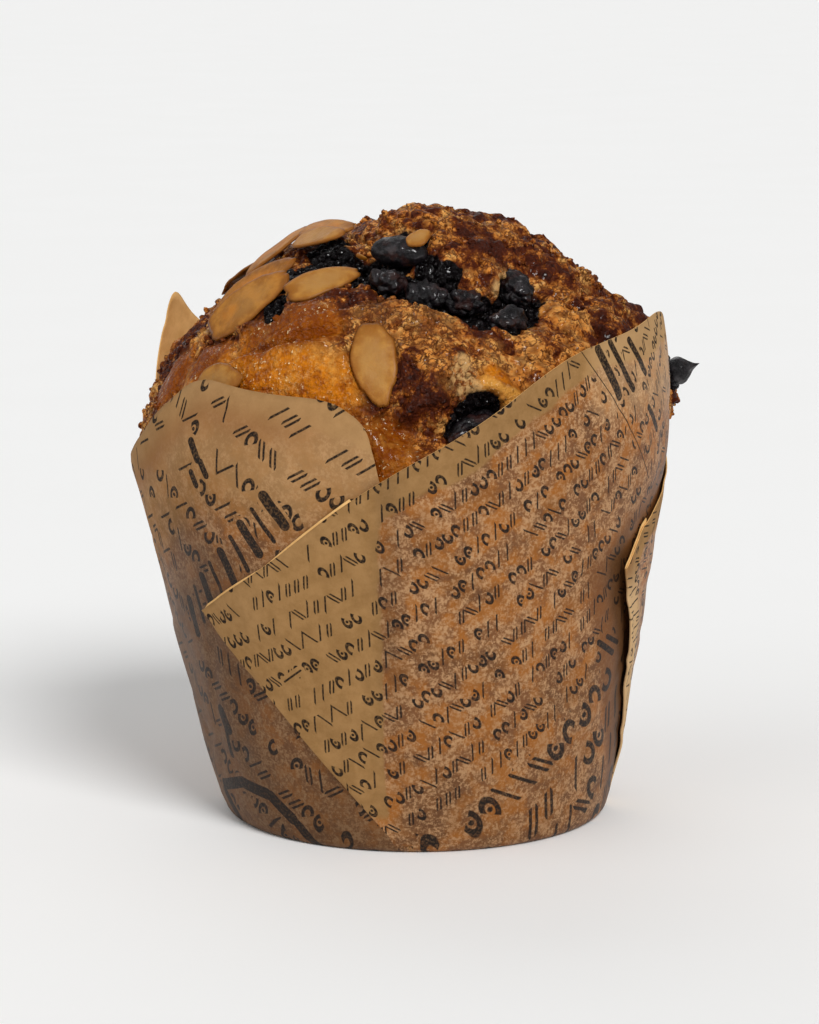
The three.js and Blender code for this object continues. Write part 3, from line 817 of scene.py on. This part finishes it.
def greaseAndShade(name, points):
    # how oily the paper is, how much darker than usual (below 0 lighter), partly its own tone and partly
    # painted shade and light, and how amber
    azimuth = azimuthOf(points)
    z = points[:, 2]
    wobble = 2.2 * layered(points, 8, seeds["oilEdge"], 4)
    below = rimAt(petals[name], azimuth) - z
    wet = smoothstep(below + wobble, 2.5, 5.5)
    shade, amber = 0.12 * layered(points, 12, seeds["paperShade"], 3), np.zeros(len(z))
    if name == "front":
        single = smoothstep(azimuth * 0.62 + 0.3 * wobble, -5.6, -4.0)
        shade -= 0.2 * (1 - single)
        wet = wet * np.maximum(single, 1 - smoothstep(z, 2, 9))
        # painted shadow in the pocket beside the right petal's fold, where its lifted edge stands off the
        # front, on paper amber with oil
        fold = petals["right"]
        before = azimuth - lerp(fold["base"][0], fold["rim"][0][0], np.clip(z / 40, 0, 1))
        pocketShadeAndOil = smoothstep(before + 0.5 * wobble, -15, -11) * (1 - smoothstep(z - 0.4 * before, 42, 50))
        shade += (0.2 * smoothstep(before, -9, -3) + 0.55 * np.exp(-((before + 1) / 4) ** 2)) * pocketShadeAndOil
        shade += 0.25 * pocketShadeAndOil
        amber += pocketShadeAndOil
        # painted light: the front lighter towards its upper right
        shade -= 0.5 * smoothstep(azimuth, 34, 44) * smoothstep(z, 58, 66)
        shade += 0.16 + 0.14 * (1 - smoothstep(z, 6, 34))
        # painted shadow along the step where the front becomes two layers
        shade += 0.35 * np.exp(-((azimuth + 6) / 2.5) ** 2) * smoothstep(z, 12, 30)
    if name == "left":
        wet = wet * lerp(0.45, 1, smoothstep(below + wobble, 14, 30))
        # painted shade where the left petal turns away from the light; it is also darker further below its
        # rim and towards the bottom
        side = smoothstep(-azimuth, 34, 60) * smoothstep(below, 8, 20)
        shade += 0.75 * smoothstep(below + 2 * wobble, 12, 30) + 0.45 * side - 0.15
        shade += 0.3 * (1 - smoothstep(z, 4, 24))
        amber += 0.15 + 0.6 * np.exp(-((below + 0.4 * wobble - 5) / 2.4) ** 2) * smoothstep(-azimuth, 14, 30)
    if name == "right":
        past = pastFold(petals[name], azimuth, z)
        wet = wet * smoothstep(past * 0.62 + wobble, 3, 8)
        amber += 0.5 * (1 - smoothstep(past, 2, 6)) * smoothstep(z, 34, 42)
        shade -= 1.1 * (1 - smoothstep(past, 7, 14)) * (1 - smoothstep(z, 34, 41))
    return wet, shade, amber


def shapePaper():
    points, faces, flat, marks, start = [], [], [], [], 0
    for name in petals:
        sheet, quads, place = petalSheet(name)
        points.append(sheet)
        faces += (quads + start).tolist()
        flat.append(place)
        marks.append(greaseAndShade(name, sheet))
        start += len(sheet)
    plate, plateFaces = basePlate()
    points.append(plate)
    faces += [[corner + start for corner in face] for face in plateFaces]
    flat.append(plate[:, :2] + [900, 0])
    marks.append((np.full(len(plate), 0.8), np.full(len(plate), 0.2), np.zeros(len(plate))))
    marks = dict(zip(("grease", "shade", "amber"), np.concatenate(marks, axis=1)))
    return np.concatenate(points), faces, np.concatenate(flat), marks


paperColours = {
    "clean": "9d7648", "cleanDark": "8b663a", "greasy": "724424", "greasyLight": "9a6a3f", "patch": "4a2a16",
    "orange": "9c5a16", "speckle": "c89c70", "ink": "1f1712", "inner": "e6b878", "innerDark": "d2a262",
    "shaded": "301a0d", "lighter": "c9a578", "amber": "784008",
}
# Print of each kind: height of the marks and distance of the rows, in millimetres
printSizes = {"small": [1.8, 3.75], "left": [2.5, 6.0], "large": [3.9, 6.6]}
# The marks, in shares of their height; rings and blank are shares of all the marks
printMarks = {
    "advance": 0.87, "rings": 0.52, "blank": 0.18, "ringWidth": 0.085, "ringHeight": 0.2,
    "ringInk": 0.13, "opening": 0.2, "dot": 0.12, "ink": 0.085, "lean": 0.6, "apart": 0.17,
    "taller": 0.4, "lower": 0.35, "soft": 0.03,
}


def printing(g, u, v):
    # plain marks in rows: rings open at a corner, some with a dot, or leaning strokes
    marks = printMarks
    left = g.maths("LESS_THAN", u, -150.0)
    large = g.maths("LESS_THAN", g.maths("ABSOLUTE", u - 20.0), 60.0) * g.maths("LESS_THAN", v, 5.6)

    def ofKind(index):
        small, onLeft, big = (printSizes[kind][index] for kind in ("small", "left", "large"))
        return small + left * (onLeft - small) + large * (big - small)

    def inked(value):
        return g.smooth(value, -marks["soft"], marks["soft"])

    size, spacing = ofKind(0), ofKind(1)
    row = g.maths("FLOOR", (v + 1.0) / spacing)
    y = (v + 1.0 - row * spacing) / size - 0.5
    shift = g.chance(g.node("ShaderNodeCombineXYZ", sockets={0: row, 1: left}))
    along = u / (marks["advance"] * size) + 7.0 * shift
    cell = g.maths("FLOOR", along)
    x = (along - cell - 0.5) * marks["advance"]
    spot = g.node("ShaderNodeCombineXYZ", sockets={0: cell, 1: row, 2: left})
    split = g.node("ShaderNodeSeparateColor", sockets={0: g.chance(spot, 1)})
    first, second, third = (Wire(g, socket) for socket in split.socket.node.outputs)
    up = y - 0.5
    reach = g.maths("SQRT", (x * x) / marks["ringWidth"] + (up * up) / marks["ringHeight"])
    corner = math.pi / 4 + math.pi / 2 * g.maths("FLOOR", 4.0 * second)
    opening = x * g.maths("COSINE", corner) + up * g.maths("SINE", corner)
    ring = inked(marks["ringInk"] - 0.36 * g.maths("ABSOLUTE", reach - 1.0))
    ring = ring * inked(marks["opening"] - opening)
    dot = inked(marks["dot"] - g.maths("SQRT", x * x + up * up)) * g.maths("GREATER_THAN", third, 0.6)
    top = 1.0 + marks["taller"] * g.maths("GREATER_THAN", third, 0.7)
    foot = -marks["lower"] * g.maths("LESS_THAN", third, 0.2)
    lean = (marks["lean"] - 2 * marks["lean"] * g.maths("GREATER_THAN", second, 0.7)) * up
    apart = marks["apart"] * g.maths("LESS_THAN", g.maths("ABSOLUTE", third - 0.45), 0.25)
    aside = g.maths("ABSOLUTE", g.maths("ABSOLUTE", x - lean) - apart)
    stroke = inked(marks["ink"] - aside) * inked(top - y) * inked(y - foot)
    isRing = g.maths("LESS_THAN", first, marks["rings"])
    mark = isRing * g.maths("MAXIMUM", ring, dot) + (1 - isRing) * stroke
    return mark * g.maths("GREATER_THAN", g.chance(spot), marks["blank"])


def bar(g, u, v, place):
    # distance to a rounded bar
    centreU, centreV, half, thick, turn = place
    a = math.radians(turn)
    du, dv = u - centreU, v - centreV
    along = du * math.cos(a) + dv * math.sin(a)
    aside = dv * math.cos(a) - du * math.sin(a)
    past = g.maths("MAXIMUM", g.maths("ABSOLUTE", along) - (half - thick), 0.0)
    return g.maths("SQRT", past * past + aside * aside) - thick


# Bold bars on the sheet: centre U and V, half length, half width, turn in degrees
boldBars = [
    [60.4, 43.4, 4.9, .8, -99], [63.5, 41.6, 4.9, .6, -97], [67.7, 39, 4, .6, -91],
    [64.6, 28.7, 3.4, .5, -85], [-6.2, 34.4, 2, .16, 10], [58.3, 42.6, 9.3, .1, -88],
    [58.5, 28.8, 6.7, .1, -91], [37.1, 7.8, 3, .5, -70], [39, 7.4, 2.4, .4, -66],
    [-321, 48.8, 3.3, .9, -26], [-321.6, 45.6, 3, .4, -28], [-322.6, 42.2, 3.1, .8, -30],
    [-323.2, 38.8, 3, .45, -33], [-324.2, 35.2, 3.1, .8, -36], [-325.2, 31.6, 3, .4, -40],
    [-326.2, 28, 3.1, .85, -43], [-327.3, 24.2, 3, .45, -47], [-328.2, 20.4, 3.3, .9, -52],
    [-336.7, 47.3, 2.1, .7, -22], [-334.6, 43.6, 1.5, .6, -30], [-333.7, 46.4, 1.6, .6, -26],
    [-316.8, 9.4, 2.4, 1.1, -34], [-315.2, 6.6, 3.1, .5, -60],
    [-312.7, -1.2, 4.5, .9, 55], [-307.7, 3.6, 3.8, 1, 30], [-302.3, 5, 3.2, 1, -5],
    [-297.5, 4.4, 2.7, .7, -10], [-312.2, -5.6, 3, 1, -8],
    [255.4, -5.4, 2.3, .15, 72], [257.7, -5.2, 3, .15, 68], [260.1, -5.1, 3.3, .15, 66],
    [262.7, -4.9, 3.1, .15, 69], [265.6, -4.3, 2.9, .15, 66],
]


def paperLook():
    material, g = startLook("printed paper")
    colour = {name: srgb(text) for name, text in paperColours.items()}
    place = g.placeInMm()
    flat = g.node("ShaderNodeUVMap", {"uv_map": "sheet"})
    split = g.node("ShaderNodeSeparateXYZ", sockets={0: flat})
    u, v = split, Wire(g, split.socket.node.outputs[1])
    wet, shade, amber = g.painted("grease"), g.painted("shade"), g.painted("amber")
    fine = g.noise(place, 0.35, 2.0, 0.6)
    middle = g.noise(place, 2.4, 5.0, 0.65)
    broad = g.noise(place, 9.0, 3.0, 0.55)
    clean = g.mix(g.smooth(middle, 0.3, 0.7), colour["cleanDark"], colour["clean"])
    blots = g.noise(place, 3.6, 4.0, 0.6)
    oily = g.mix(g.smooth(blots, 0.42, 0.6), colour["greasy"], colour["orange"])
    oily = g.mix(g.smooth(broad, 0.46, 0.64) * 0.55, oily, colour["patch"])
    oily = g.mix(g.smooth(middle, 0.42, 0.62) * 0.4, oily, colour["greasyLight"])
    speck = g.smooth(g.noise(place, 0.5, 3.0, 0.75) + 0.5 * (middle - 0.5), 0.44, 0.64)
    oily = g.mix(speck * (0.72 - 0.3 * g.smooth(blots, 0.5, 0.62)), oily, colour["speckle"])
    edge = g.smooth(wet + 0.25 * (middle - 0.5), 0.3, 0.7)
    sheet = g.mix(edge, clean, oily)
    sheet = g.mix(g.clamp(amber) * 0.85, sheet, colour["amber"])
    # painted shade and light from the shade attribute, along with the paper's own darker and lighter tones
    sheet = g.mix(g.clamp(shade) * 0.75, sheet, colour["shaded"])
    sheet = g.mix(g.clamp(-1.0 * shade), sheet, colour["lighter"])
    sheet = g.mix(fine * 0.12, sheet, colour["lighter"])
    away = bar(g, u, v, boldBars[0])
    for boldBar in boldBars[1:]:
        away = g.maths("MINIMUM", away, bar(g, u, v, boldBar))
    away = away + 0.12 * (fine - 0.5)
    small = printing(g, u, v) * g.smooth(away, 0.5, 0.6)      # none close to a bar
    ink = g.maths("MAXIMUM", small, g.smooth(0.04 - away, 0.0, 0.1))
    ink = ink * (0.72 + 0.3 * g.smooth(fine, 0.3, 0.6))
    sheet = g.mix(g.clamp(ink), sheet, colour["ink"])
    sockets = {
        "Base Color": sheet, "Roughness": g.clamp(0.78 - 0.28 * edge + 0.1 * (fine - 0.5)),
        "Coat Weight": 0.07 * edge, "Coat Roughness": 0.3, "Specular IOR Level": 0.1,
    }
    finishLook(g, sockets, 0.03 * fine + 0.12 * middle, 0.7)
    return material


def innerPaperLook():
    material, g = startLook("plain paper")
    colour = {name: srgb(text) for name, text in paperColours.items()}
    place = g.placeInMm()
    fine = g.noise(place, 0.35, 2.0, 0.6)
    middle = g.noise(place, 3.0, 5.0, 0.65)
    sheet = g.mix(g.smooth(middle, 0.3, 0.7), colour["innerDark"], colour["inner"])
    rough = g.clamp(0.8 + 0.1 * (fine - 0.5))
    sockets = {"Base Color": sheet, "Roughness": rough, "Specular IOR Level": 0.18}
    finishLook(g, sockets, 0.03 * fine + 0.1 * middle, 0.7)
    return material


def buildPaper():
    points, faces, flat, marks = shapePaper()
    wrap = makePiece("folded_wrap", points, faces, [paperLook(), innerPaperLook()], marks, flat)
    thick = wrap.modifiers.new("thickness", "SOLIDIFY")
    thick.thickness = paper["thickness"] * mm
    thick.offset = -1
    thick.use_even_offset = False
    thick.material_offset = 1
    thick.material_offset_rim = 1
    settled(wrap)
    handIn(wrap, "printed_paper", "paper_wrap")
    print("wrap done", len(wrap.data.polygons))


# Almond flakes

flakeShape = {"thickness": 0.62, "bend": 0.011, "rings": 14, "sides": 72, "wobble": 0.12, "ragged": 0.035}
flakes = {
    "almond_front": {"from": [-10.5, 51], "to": [-4.5, 69], "width": 6.6, "raise": [1.1, 1.2],
                     "toast": 0.05},
    "almond_low_left": {"from": [-54, 68.5], "to": [-38, 65], "width": 6.4, "raise": [0.6, 0.7],
                        "toast": 0.05},
    "almond_left_long": {"from": [-66, 56.5], "to": [-47, 38], "width": 7.2, "raise": [1.2, 1.6],
                         "roll": 14, "toast": 0.42},
    "almond_left_under": {"from": [-89, 54], "to": [-67, 31], "width": 6.6, "raise": [1.0, 1.8],
                          "roll": 20, "toast": 0.62},
    "almond_left_edge": {"from": [-95, 41], "to": [-100, 23], "width": 5.2, "raise": [1.5, 2.6],
                         "roll": 12, "toast": 0.5},
    "almond_crest_left": {"from": [-88, 25], "to": [-56, 16], "width": 5, "raise": [2.3, 2.8],
                          "roll": 10, "toast": 0.4},
    "almond_crest_low": {"from": [-80, 27.5], "to": [-47, 21.5], "width": 4.4, "raise": [2.2, 2.4],
                         "roll": 12, "toast": 0.1},
    "almond_middle": {"from": [-40, 44.5], "to": [-22, 31], "width": 5, "raise": [1.1, 1.8],
                      "roll": 12, "toast": 0.0},
    "almond_back_left": {"from": [246, 34], "to": [238, 54], "width": 8, "raise": [1.0, 1.1],
                         "toast": 0.3},
    "almond_back": {"from": [190, 66], "to": [208, 62], "width": 7.4, "raise": [1.0, 1.0],
                    "toast": 0.15},
    "almond_back_right": {"from": [160, 34], "to": [138, 46], "width": 7.8, "raise": [1.5, 1.4],
                          "toast": 0.4},
}
# broken bits too small for the CAD frame
almondBits = {
    "on the crest berry": {"from": [-2, 27.5], "to": [8, 24.5], "width": 3.2, "raise": [2.9, 1.6],
                           "toast": 0.0},
    "beside the crest flake": {"from": [-38, 22], "to": [-34, 20.5], "width": 0.9,
                               "raise": [1.6, 1.6], "toast": 0.0},
}
almondColours = {
    "pale": "965e1c", "paleSpot": "ae7a34", "heart": "a97c42", "brown": "7d4b18", "brownSpot": "b47226",
    "toasted": "c2751c", "rim": "7c460f",
}


def surfacePoint(place, rise):
    azimuth, polar = np.array([place[0]], float), np.array([place[1]], float)
    p = np.radians(polar)
    z = cake["domeBase"] + cake["domeHeight"] * np.cos(p)
    height = relief(onDome(azimuth, polar)) * smoothstep(z, 50, 60)
    room = wallRadius(z) - 1.6 - cake["domeRadius"] * np.sin(p)
    room = room + cake["overhang"] * smoothstep(z - paperTop(azimuth), 1.5, 5.5)
    height = np.minimum(height, np.maximum(0, room))
    at = around(azimuth, cake["domeRadius"] * np.sin(p), z, cakeCentre(z))
    return (at + domeNormal(azimuth, polar) * (height + rise)[:, None])[0]


def flakeFrame(flake):
    start = surfacePoint(flake["from"], flake["raise"][0])
    end = surfacePoint(flake["to"], flake["raise"][1])
    length = np.linalg.norm(end - start)
    along = (end - start) / length
    middle = (np.array(flake["from"], float) + flake["to"]) / 2
    across = np.cross(domeNormal(*middle), along)
    across /= np.linalg.norm(across)
    up = np.cross(along, across)
    roll = math.radians(flake.get("roll", 0))
    across, up = across * math.cos(roll) + up * math.sin(roll), up * math.cos(roll) - across * math.sin(roll)
    return (start + end) / 2, along, across, up, length


def pressedUnder(points, flake):
    # the crust sinks where a flake lies on it
    centre, along, across, up, length = flakeFrame(flake)
    x, y, height = ((points - centre) @ axis for axis in (along, across, up))
    reach = (2 * x / length) ** 2 + (2 * y / flake["width"]) ** 2
    underside = -flakeShape["bend"] * x * x - flakeShape["thickness"] / 2 - 0.12
    excess = np.clip(height - underside, 0, 4) * (1 - smoothstep(reach, 1.0, 1.5)) * (height < 4)
    return points - excess[:, None] * up


def shapeFlake(flake, seed):
    centre, along, across, up, length = flakeFrame(flake)
    rings, sides = flakeShape["rings"], flakeShape["sides"]
    turn = np.arange(sides) * 2 * math.pi / sides
    circle = np.stack([np.cos(turn) * 2, np.sin(turn) * 2, np.full(sides, seed * 3.7)], axis=1)
    outline = 1 + flakeShape["wobble"] * noise(circle, 1.3, seeds["flakeOutline"])
    outline = outline + flakeShape["ragged"] * noise(circle, 0.35, seeds["flakeEdge"])
    points, rim = [], []
    for face in (1, -1):
        for ring in range(rings + 1):
            if face == -1 and ring == rings:
                continue
            r = ring / rings
            x = length / 2 * r * np.cos(turn) * outline
            y = flake["width"] / 2 * r * np.sin(turn) * (1 - 0.2 * np.cos(turn)) * outline
            thick = flakeShape["thickness"] / 2 * math.sqrt(max(0, 1 - r ** 8))
            sag = -flakeShape["bend"] * x * x
            flatPlace = np.stack([x, y, np.full(sides, seed * 9.1)], axis=1)
            wavy = 0.12 * noise(flatPlace, 3.0, seeds["flakeWaves"])
            wavy = wavy + 0.05 * noise(flatPlace, 1.0, seeds["flakeGrain"])
            height = face * thick + sag + wavy
            points.append(x[:, None] * along + y[:, None] * across + height[:, None] * up)
            rim.append(np.full(sides, r))
    points = np.concatenate(points) + centre
    rim = np.concatenate(rim)
    faces = []
    perTop = (rings + 1) * sides

    def ringStart(face, ring):
        if face == 1 or ring == rings:
            return ring * sides
        return perTop + ring * sides

    for face in (1, -1):
        for ring in range(rings):
            a, b = ringStart(face, ring), ringStart(face, ring + 1)
            for i in range(sides):
                j = (i + 1) % sides
                quad = [a + i, b + i, b + j, a + j]
                if ring == 0:
                    quad = [a, b + i, b + j]
                faces.append(quad if face == 1 else quad[::-1])
    return points, faces, rim


def almondLook():
    material, g = startLook("almond flake")
    colour = {name: srgb(text) for name, text in almondColours.items()}
    place = g.placeInMm()
    rim, toast = g.painted("rim"), g.painted("toast")
    fine = g.noise(place, 0.5, 3.0, 0.6)
    middle = g.noise(place, 2.2, 3.0, 0.55)
    broad = g.noise(place, 5.0, 2.0, 0.5)
    spots = g.smooth(middle, 0.35, 0.65)
    pale = g.mix(spots, colour["pale"], colour["paleSpot"])
    pale = g.mix(g.smooth(1.0 - rim, 0.1, 0.7) * 0.75, pale, colour["heart"])
    brown = g.mix(spots, colour["brown"], colour["brownSpot"])
    share = g.clamp(toast + 0.8 * (broad - 0.5) + 0.3 * g.smooth(rim, 0.7, 1.0))
    skin = g.mix(share, pale, brown)
    toasted = g.smooth(toast + broad, 0.9, 1.1) * g.smooth(1.0 - rim, 0.2, 0.6)
    skin = g.mix(toasted * 0.5, skin, colour["toasted"])
    skin = g.mix(g.smooth(rim + 0.2 * (middle - 0.5), 0.8, 1.0) * 0.8, skin, colour["rim"])
    sockets = {
        "Base Color": skin, "Roughness": g.clamp(0.45 + 0.3 * (fine - 0.5)), "Coat Weight": 0.08,
        "Coat Roughness": 0.25, "Specular IOR Level": 0.15,
        "Subsurface Weight": 0.15, "Subsurface Radius": (0.0015, 0.001, 0.0005),
    }
    finishLook(g, sockets, 0.1 * fine + 0.12 * middle, 0.8)
    return material


def buildFlakes():
    parts, rim, toast = [], [], []
    for seed, flake in enumerate([*flakes.values(), *almondBits.values()]):
        points, faces, edge = shapeFlake(flake, seed)
        parts.append((points, faces))
        rim.append(edge)
        toast.append(np.full(len(points), flake["toast"]))
    points, faces = joined(parts)
    painted = {"rim": np.concatenate(rim), "toast": np.concatenate(toast)}
    piece = makePiece("almond_flakes", points, faces, [almondLook()], painted)
    handIn(piece, "almond", *flakes)
    print("flakes done", len(piece.data.polygons))


# Berries

berries = {
    "berry_crest": {"at": [-7, 25.5], "radii": [4.4, 2.7, 2.3], "heading": -10, "raise": 0.5,
                    "lumpy": 0.2},
    "berry_burst_left": {"at": [-9, 33.5], "radii": [3.2, 2.4, 2.0], "heading": -20, "raise": 1.3,
                         "lumpy": 0.9},
    "berry_burst_middle": {"at": [5, 38.5], "radii": [3.6, 2.5, 2.0], "heading": -25, "raise": 1.5,
                           "lumpy": 0.9},
    "berry_burst_right": {"at": [19, 41], "radii": [3.2, 2.3, 2.0], "heading": -10, "raise": 1.2,
                          "lumpy": 1.0},
    "berry_torn": {"at": [42, 38.5], "radii": [2.5, 3.6, 2.7], "heading": -8, "raise": 1.2,
                   "lumpy": 0.8},
    "berry_flat": {"at": [31, 48], "radii": [3.6, 1.9, 1.5], "heading": 4, "raise": 0.6,
                   "lumpy": 0.9},
    "berry_low": {"at": [16.5, 73.5], "radii": [4.4, 2.6, 2.4], "heading": 24, "raise": 0.1,
                  "lumpy": 0.6},
    "berry_side": {"at": [105, 73.5], "radii": [2.1, 2.2, 3.2], "heading": 0, "raise": 0.2,
                   "lumpy": 0.15, "cone": 0.85},
    "berry_back": {"at": [176, 43], "radii": [4.4, 4.0, 3.4], "heading": 0, "raise": 2.0,
                   "lumpy": 0.6},
}
berryDetail = 40
berryColours = {"skin": "080507", "paintedSheen": "1f151a", "bloom": "3d353d", "red": "38170f"}


def shapeBerry(berry, seed):
    directions, faces = ball(berryDetail)
    azimuth, polar = berry["at"]
    out = domeNormal(azimuth, polar)
    right = around(azimuth + 90, 1, 0)
    up = np.cross(out, right)
    turn = math.radians(berry["heading"])
    right, up = right * math.cos(turn) + up * math.sin(turn), up * math.cos(turn) - right * math.sin(turn)
    place = warped(directions * berry["radii"] + seed * 11.3, 0.5, 2.0, seeds["berryDrift"])
    bead = pebbles(place, 1.5, seeds["berryBeads"])[0]
    swell = berry["lumpy"] * (0.9 * noise(place, 3.2, seeds["berryForm"]) + 1.1 * (0.5 - bead) - 0.25)
    swell += 0.3 * berry["lumpy"] * layered(place, 1.0, seeds["berryGrain"], 2)
    local = directions * (np.array(berry["radii"]) + swell[:, None])
    narrow = 1 - berry.get("cone", 0) * smoothstep(directions[:, 2], -0.1, 1)
    points = (local[:, :1] * right + local[:, 1:2] * up) * narrow[:, None] + local[:, 2:] * out
    return points + surfacePoint(berry["at"], berry["raise"]), faces


def berryLook():
    material, g = startLook("baked berry")
    colour = {name: srgb(text) for name, text in berryColours.items()}
    place = g.placeInMm()
    fine = g.noise(place, 0.45, 4.0, 0.65)
    middle = g.noise(place, 1.6, 4.0, 0.6)
    # painted sheen: lighter patches where the coat is glossiest
    skin = g.mix(g.smooth(middle, 0.45, 0.7), colour["skin"], colour["paintedSheen"])
    skin = g.mix(g.smooth(fine, 0.56, 0.72) * 0.5, skin, colour["bloom"])
    skin = g.mix(g.smooth(g.noise(place, 3.0, 3.0, 0.6), 0.52, 0.66) * 0.5, skin, colour["red"])
    sockets = {
        "Base Color": skin, "Roughness": g.clamp(0.4 + 0.5 * (middle - 0.45)), "Specular IOR Level": 0.2,
        "Coat Weight": g.smooth(middle, 0.42, 0.6) * 0.7, "Coat Roughness": 0.1,
    }
    finishLook(g, sockets, 0.25 * fine + 0.4 * middle)
    return material


def buildBerries():
    parts = [shapeBerry(berry, seed) for seed, berry in enumerate(berries.values())]
    points, faces = joined(parts)
    piece = makePiece("baked_berries", points, faces, [berryLook()])
    handIn(piece, "baked_berry", *berries)
    print("berries done", len(piece.data.polygons))


# Crumbs and juice granules, scattered on the crust by Geometry Nodes

granuleShape = {"Radius": 0.5, "Segments": 8, "Rings": 5}
granuleShake = {"scale": 1400.0, "reach": 0.9}      # makes each one uneven


def scatterTree(name, material):
    tree = bpy.data.node_groups.new(name, "GeometryNodeTree")
    tree.interface.new_socket("Surface", in_out="INPUT", socket_type="NodeSocketGeometry")
    for label in ("Density", "Smallest", "Largest"):
        tree.interface.new_socket(label, in_out="INPUT", socket_type="NodeSocketFloat")
    tree.interface.new_socket("Seed", in_out="INPUT", socket_type="NodeSocketInt")
    tree.interface.new_socket("Pieces", in_out="OUTPUT", socket_type="NodeSocketGeometry")
    g = Graph(tree)
    surface = g.node("NodeGroupInput")
    given = {s.name: Wire(g, s) for s in surface.socket.node.outputs}
    share = g.node("GeometryNodeInputNamedAttribute", {"data_type": "FLOAT"}, {"Name": "where"})
    density = share * given["Density"]
    spread = g.node("GeometryNodeDistributePointsOnFaces", {"distribute_method": "RANDOM"},
                    {"Mesh": given["Surface"], "Density": density, "Seed": given["Seed"]})
    turn = Wire(g, spread.socket.node.outputs["Rotation"])
    size = g.node("FunctionNodeRandomValue", {"data_type": "FLOAT"},
                  {2: given["Smallest"], 3: given["Largest"], 8: given["Seed"]}, output=1)
    grain = g.node("GeometryNodeMeshUVSphere", sockets=granuleShape)
    placed = g.node("GeometryNodeInstanceOnPoints", sockets={
        "Points": spread, "Instance": grain, "Rotation": turn, "Scale": size})
    real = g.node("GeometryNodeRealizeInstances", sockets={0: placed})
    position = g.node("GeometryNodeInputPosition")
    shake = g.node("ShaderNodeTexNoise", {"noise_dimensions": "3D"},
                   {"Vector": position, "Scale": granuleShake["scale"], "Detail": 1.0}, output=1)
    centred = g.node("ShaderNodeVectorMath", {"operation": "SUBTRACT"}, {0: shake, 1: (0.5, 0.5, 0.5)})
    reach = granuleShake["reach"] * mm
    offset = g.node("ShaderNodeVectorMath", {"operation": "SCALE"}, {0: centred, 3: reach})
    moved = g.node("GeometryNodeSetPosition", sockets={"Geometry": real, "Offset": offset})
    smooth = g.node("GeometryNodeSetShadeSmooth", sockets={0: moved})
    dressed = g.node("GeometryNodeSetMaterial", sockets={0: smooth, "Material": material})
    g.node("NodeGroupOutput", sockets={"Pieces": dressed})
    return tree


scatters = {
    "juice_granules": {"Density": 0.8, "Smallest": 0.6, "Largest": 1.5, "Seed": 3, "slot": "baked_berry"},
    "crust_crumbs": {"Density": 0.5, "Smallest": 0.4, "Largest": 1.2, "Seed": 5, "slot": "crust"},
}


def scatterOn(crust, name, where, material):
    settings = scatters[name]
    host = bpy.data.objects.new(name, crust.data.copy())
    bpy.context.scene.collection.objects.link(host)
    host.data.attributes.new("where", "FLOAT", "POINT").data.foreach_set("value", where.astype(np.float32))
    modifier = host.modifiers.new("scatter", "NODES")
    tree = scatterTree(name, material)
    modifier.node_group = tree
    given = {"Density": settings["Density"] / mm ** 2, "Smallest": settings["Smallest"] * mm,
             "Largest": settings["Largest"] * mm, "Seed": settings["Seed"]}
    for item in tree.interface.items_tree:
        if item.item_type == "SOCKET" and item.in_out == "INPUT" and item.name in given:
            modifier[item.identifier] = given[item.name]
    settled(host)
    handIn(host, settings["slot"])
    print(name, "done", len(host.data.polygons))


def buildCake():
    points, faces, shares = shapeCake()
    look = crustLook()
    crust = makePiece("baked_crust", points, faces, [look], shares)
    handIn(crust, "crust", "cake")
    print("crust done", len(crust.data.polygons))
    shown = smoothstep(points[:, 2] - paperTop(azimuthOf(points)), 0.5, 2)
    scatterOn(crust, "juice_granules", shown * smoothstep(shares["juice"], 0.4, 0.8), look)
    rough = (1 - shares["golden"]) * (1 - 0.8 * shares["juice"]) * shown
    patches = smoothstep(layered(points, 5, seeds["crumbPatches"], 3), -0.4, 0.5)
    scatterOn(crust, "crust_crumbs", rough * patches, look)


# Floor, light and camera

studio = {
    "aim": (-1.0, 0.0, 44.9), "distance": 520, "elevation": 10, "lens": 121.9,
    "key": ((190, -420, 430), 24, 2.15),      # place, angle across in degrees, strength
    "fill": ((-420, -260, 330), 60, 0.55),
    "rim": ((-120, 420, 420), 50, 0.5),
    "world": 0.32,
    "floorReach": 6000,
}


def buildStudio():
    scene = bpy.context.scene
    aim = Vector(studio["aim"]) * mm
    rise = math.radians(studio["elevation"])
    camera = bpy.data.objects.new("camera", bpy.data.cameras.new("camera"))
    camera.location = aim + Vector((0, -math.cos(rise), math.sin(rise))) * studio["distance"] * mm
    camera.rotation_euler = (aim - camera.location).to_track_quat("-Z", "Y").to_euler()
    camera.data.lens = studio["lens"]
    camera.data.clip_start = 0.01
    scene.collection.objects.link(camera)
    scene.camera = camera
    for name in ("key", "fill", "rim"):
        place, spread, strength = studio[name]
        light = bpy.data.objects.new(name, bpy.data.lights.new(name, "SUN"))
        light.data.angle = math.radians(spread)
        light.data.energy = strength
        light.location = Vector(place) * mm
        light.rotation_euler = (aim - light.location).to_track_quat("-Z", "Y").to_euler()
        scene.collection.objects.link(light)
    world = bpy.data.worlds.new("studio")
    world.use_nodes = True
    world.node_tree.nodes["Background"].inputs["Color"].default_value = (1, 1, 1, 1)
    world.node_tree.nodes["Background"].inputs["Strength"].default_value = studio["world"]
    scene.world = world
    scene.view_settings.view_transform = "Standard"
    material, g = startLook("pale floor")
    grain = g.noise(g.placeInMm(), 60.0, 2.0, 0.5)
    tone = g.mix(grain, (0.93, 0.93, 0.92, 1), (0.95, 0.95, 0.945, 1))
    finishLook(g, {"Base Color": tone, "Roughness": 0.9, "Specular IOR Level": 0.1})
    corners = np.array([[-1, -1, 0], [1, -1, 0], [1, 1, 0], [-1, 1, 0]]) * float(studio["floorReach"])
    floor = makePiece("floor", corners, [[0, 1, 2, 3]], [material])


buildStudio()
buildPaper()
buildCake()
buildFlakes()
buildBerries()
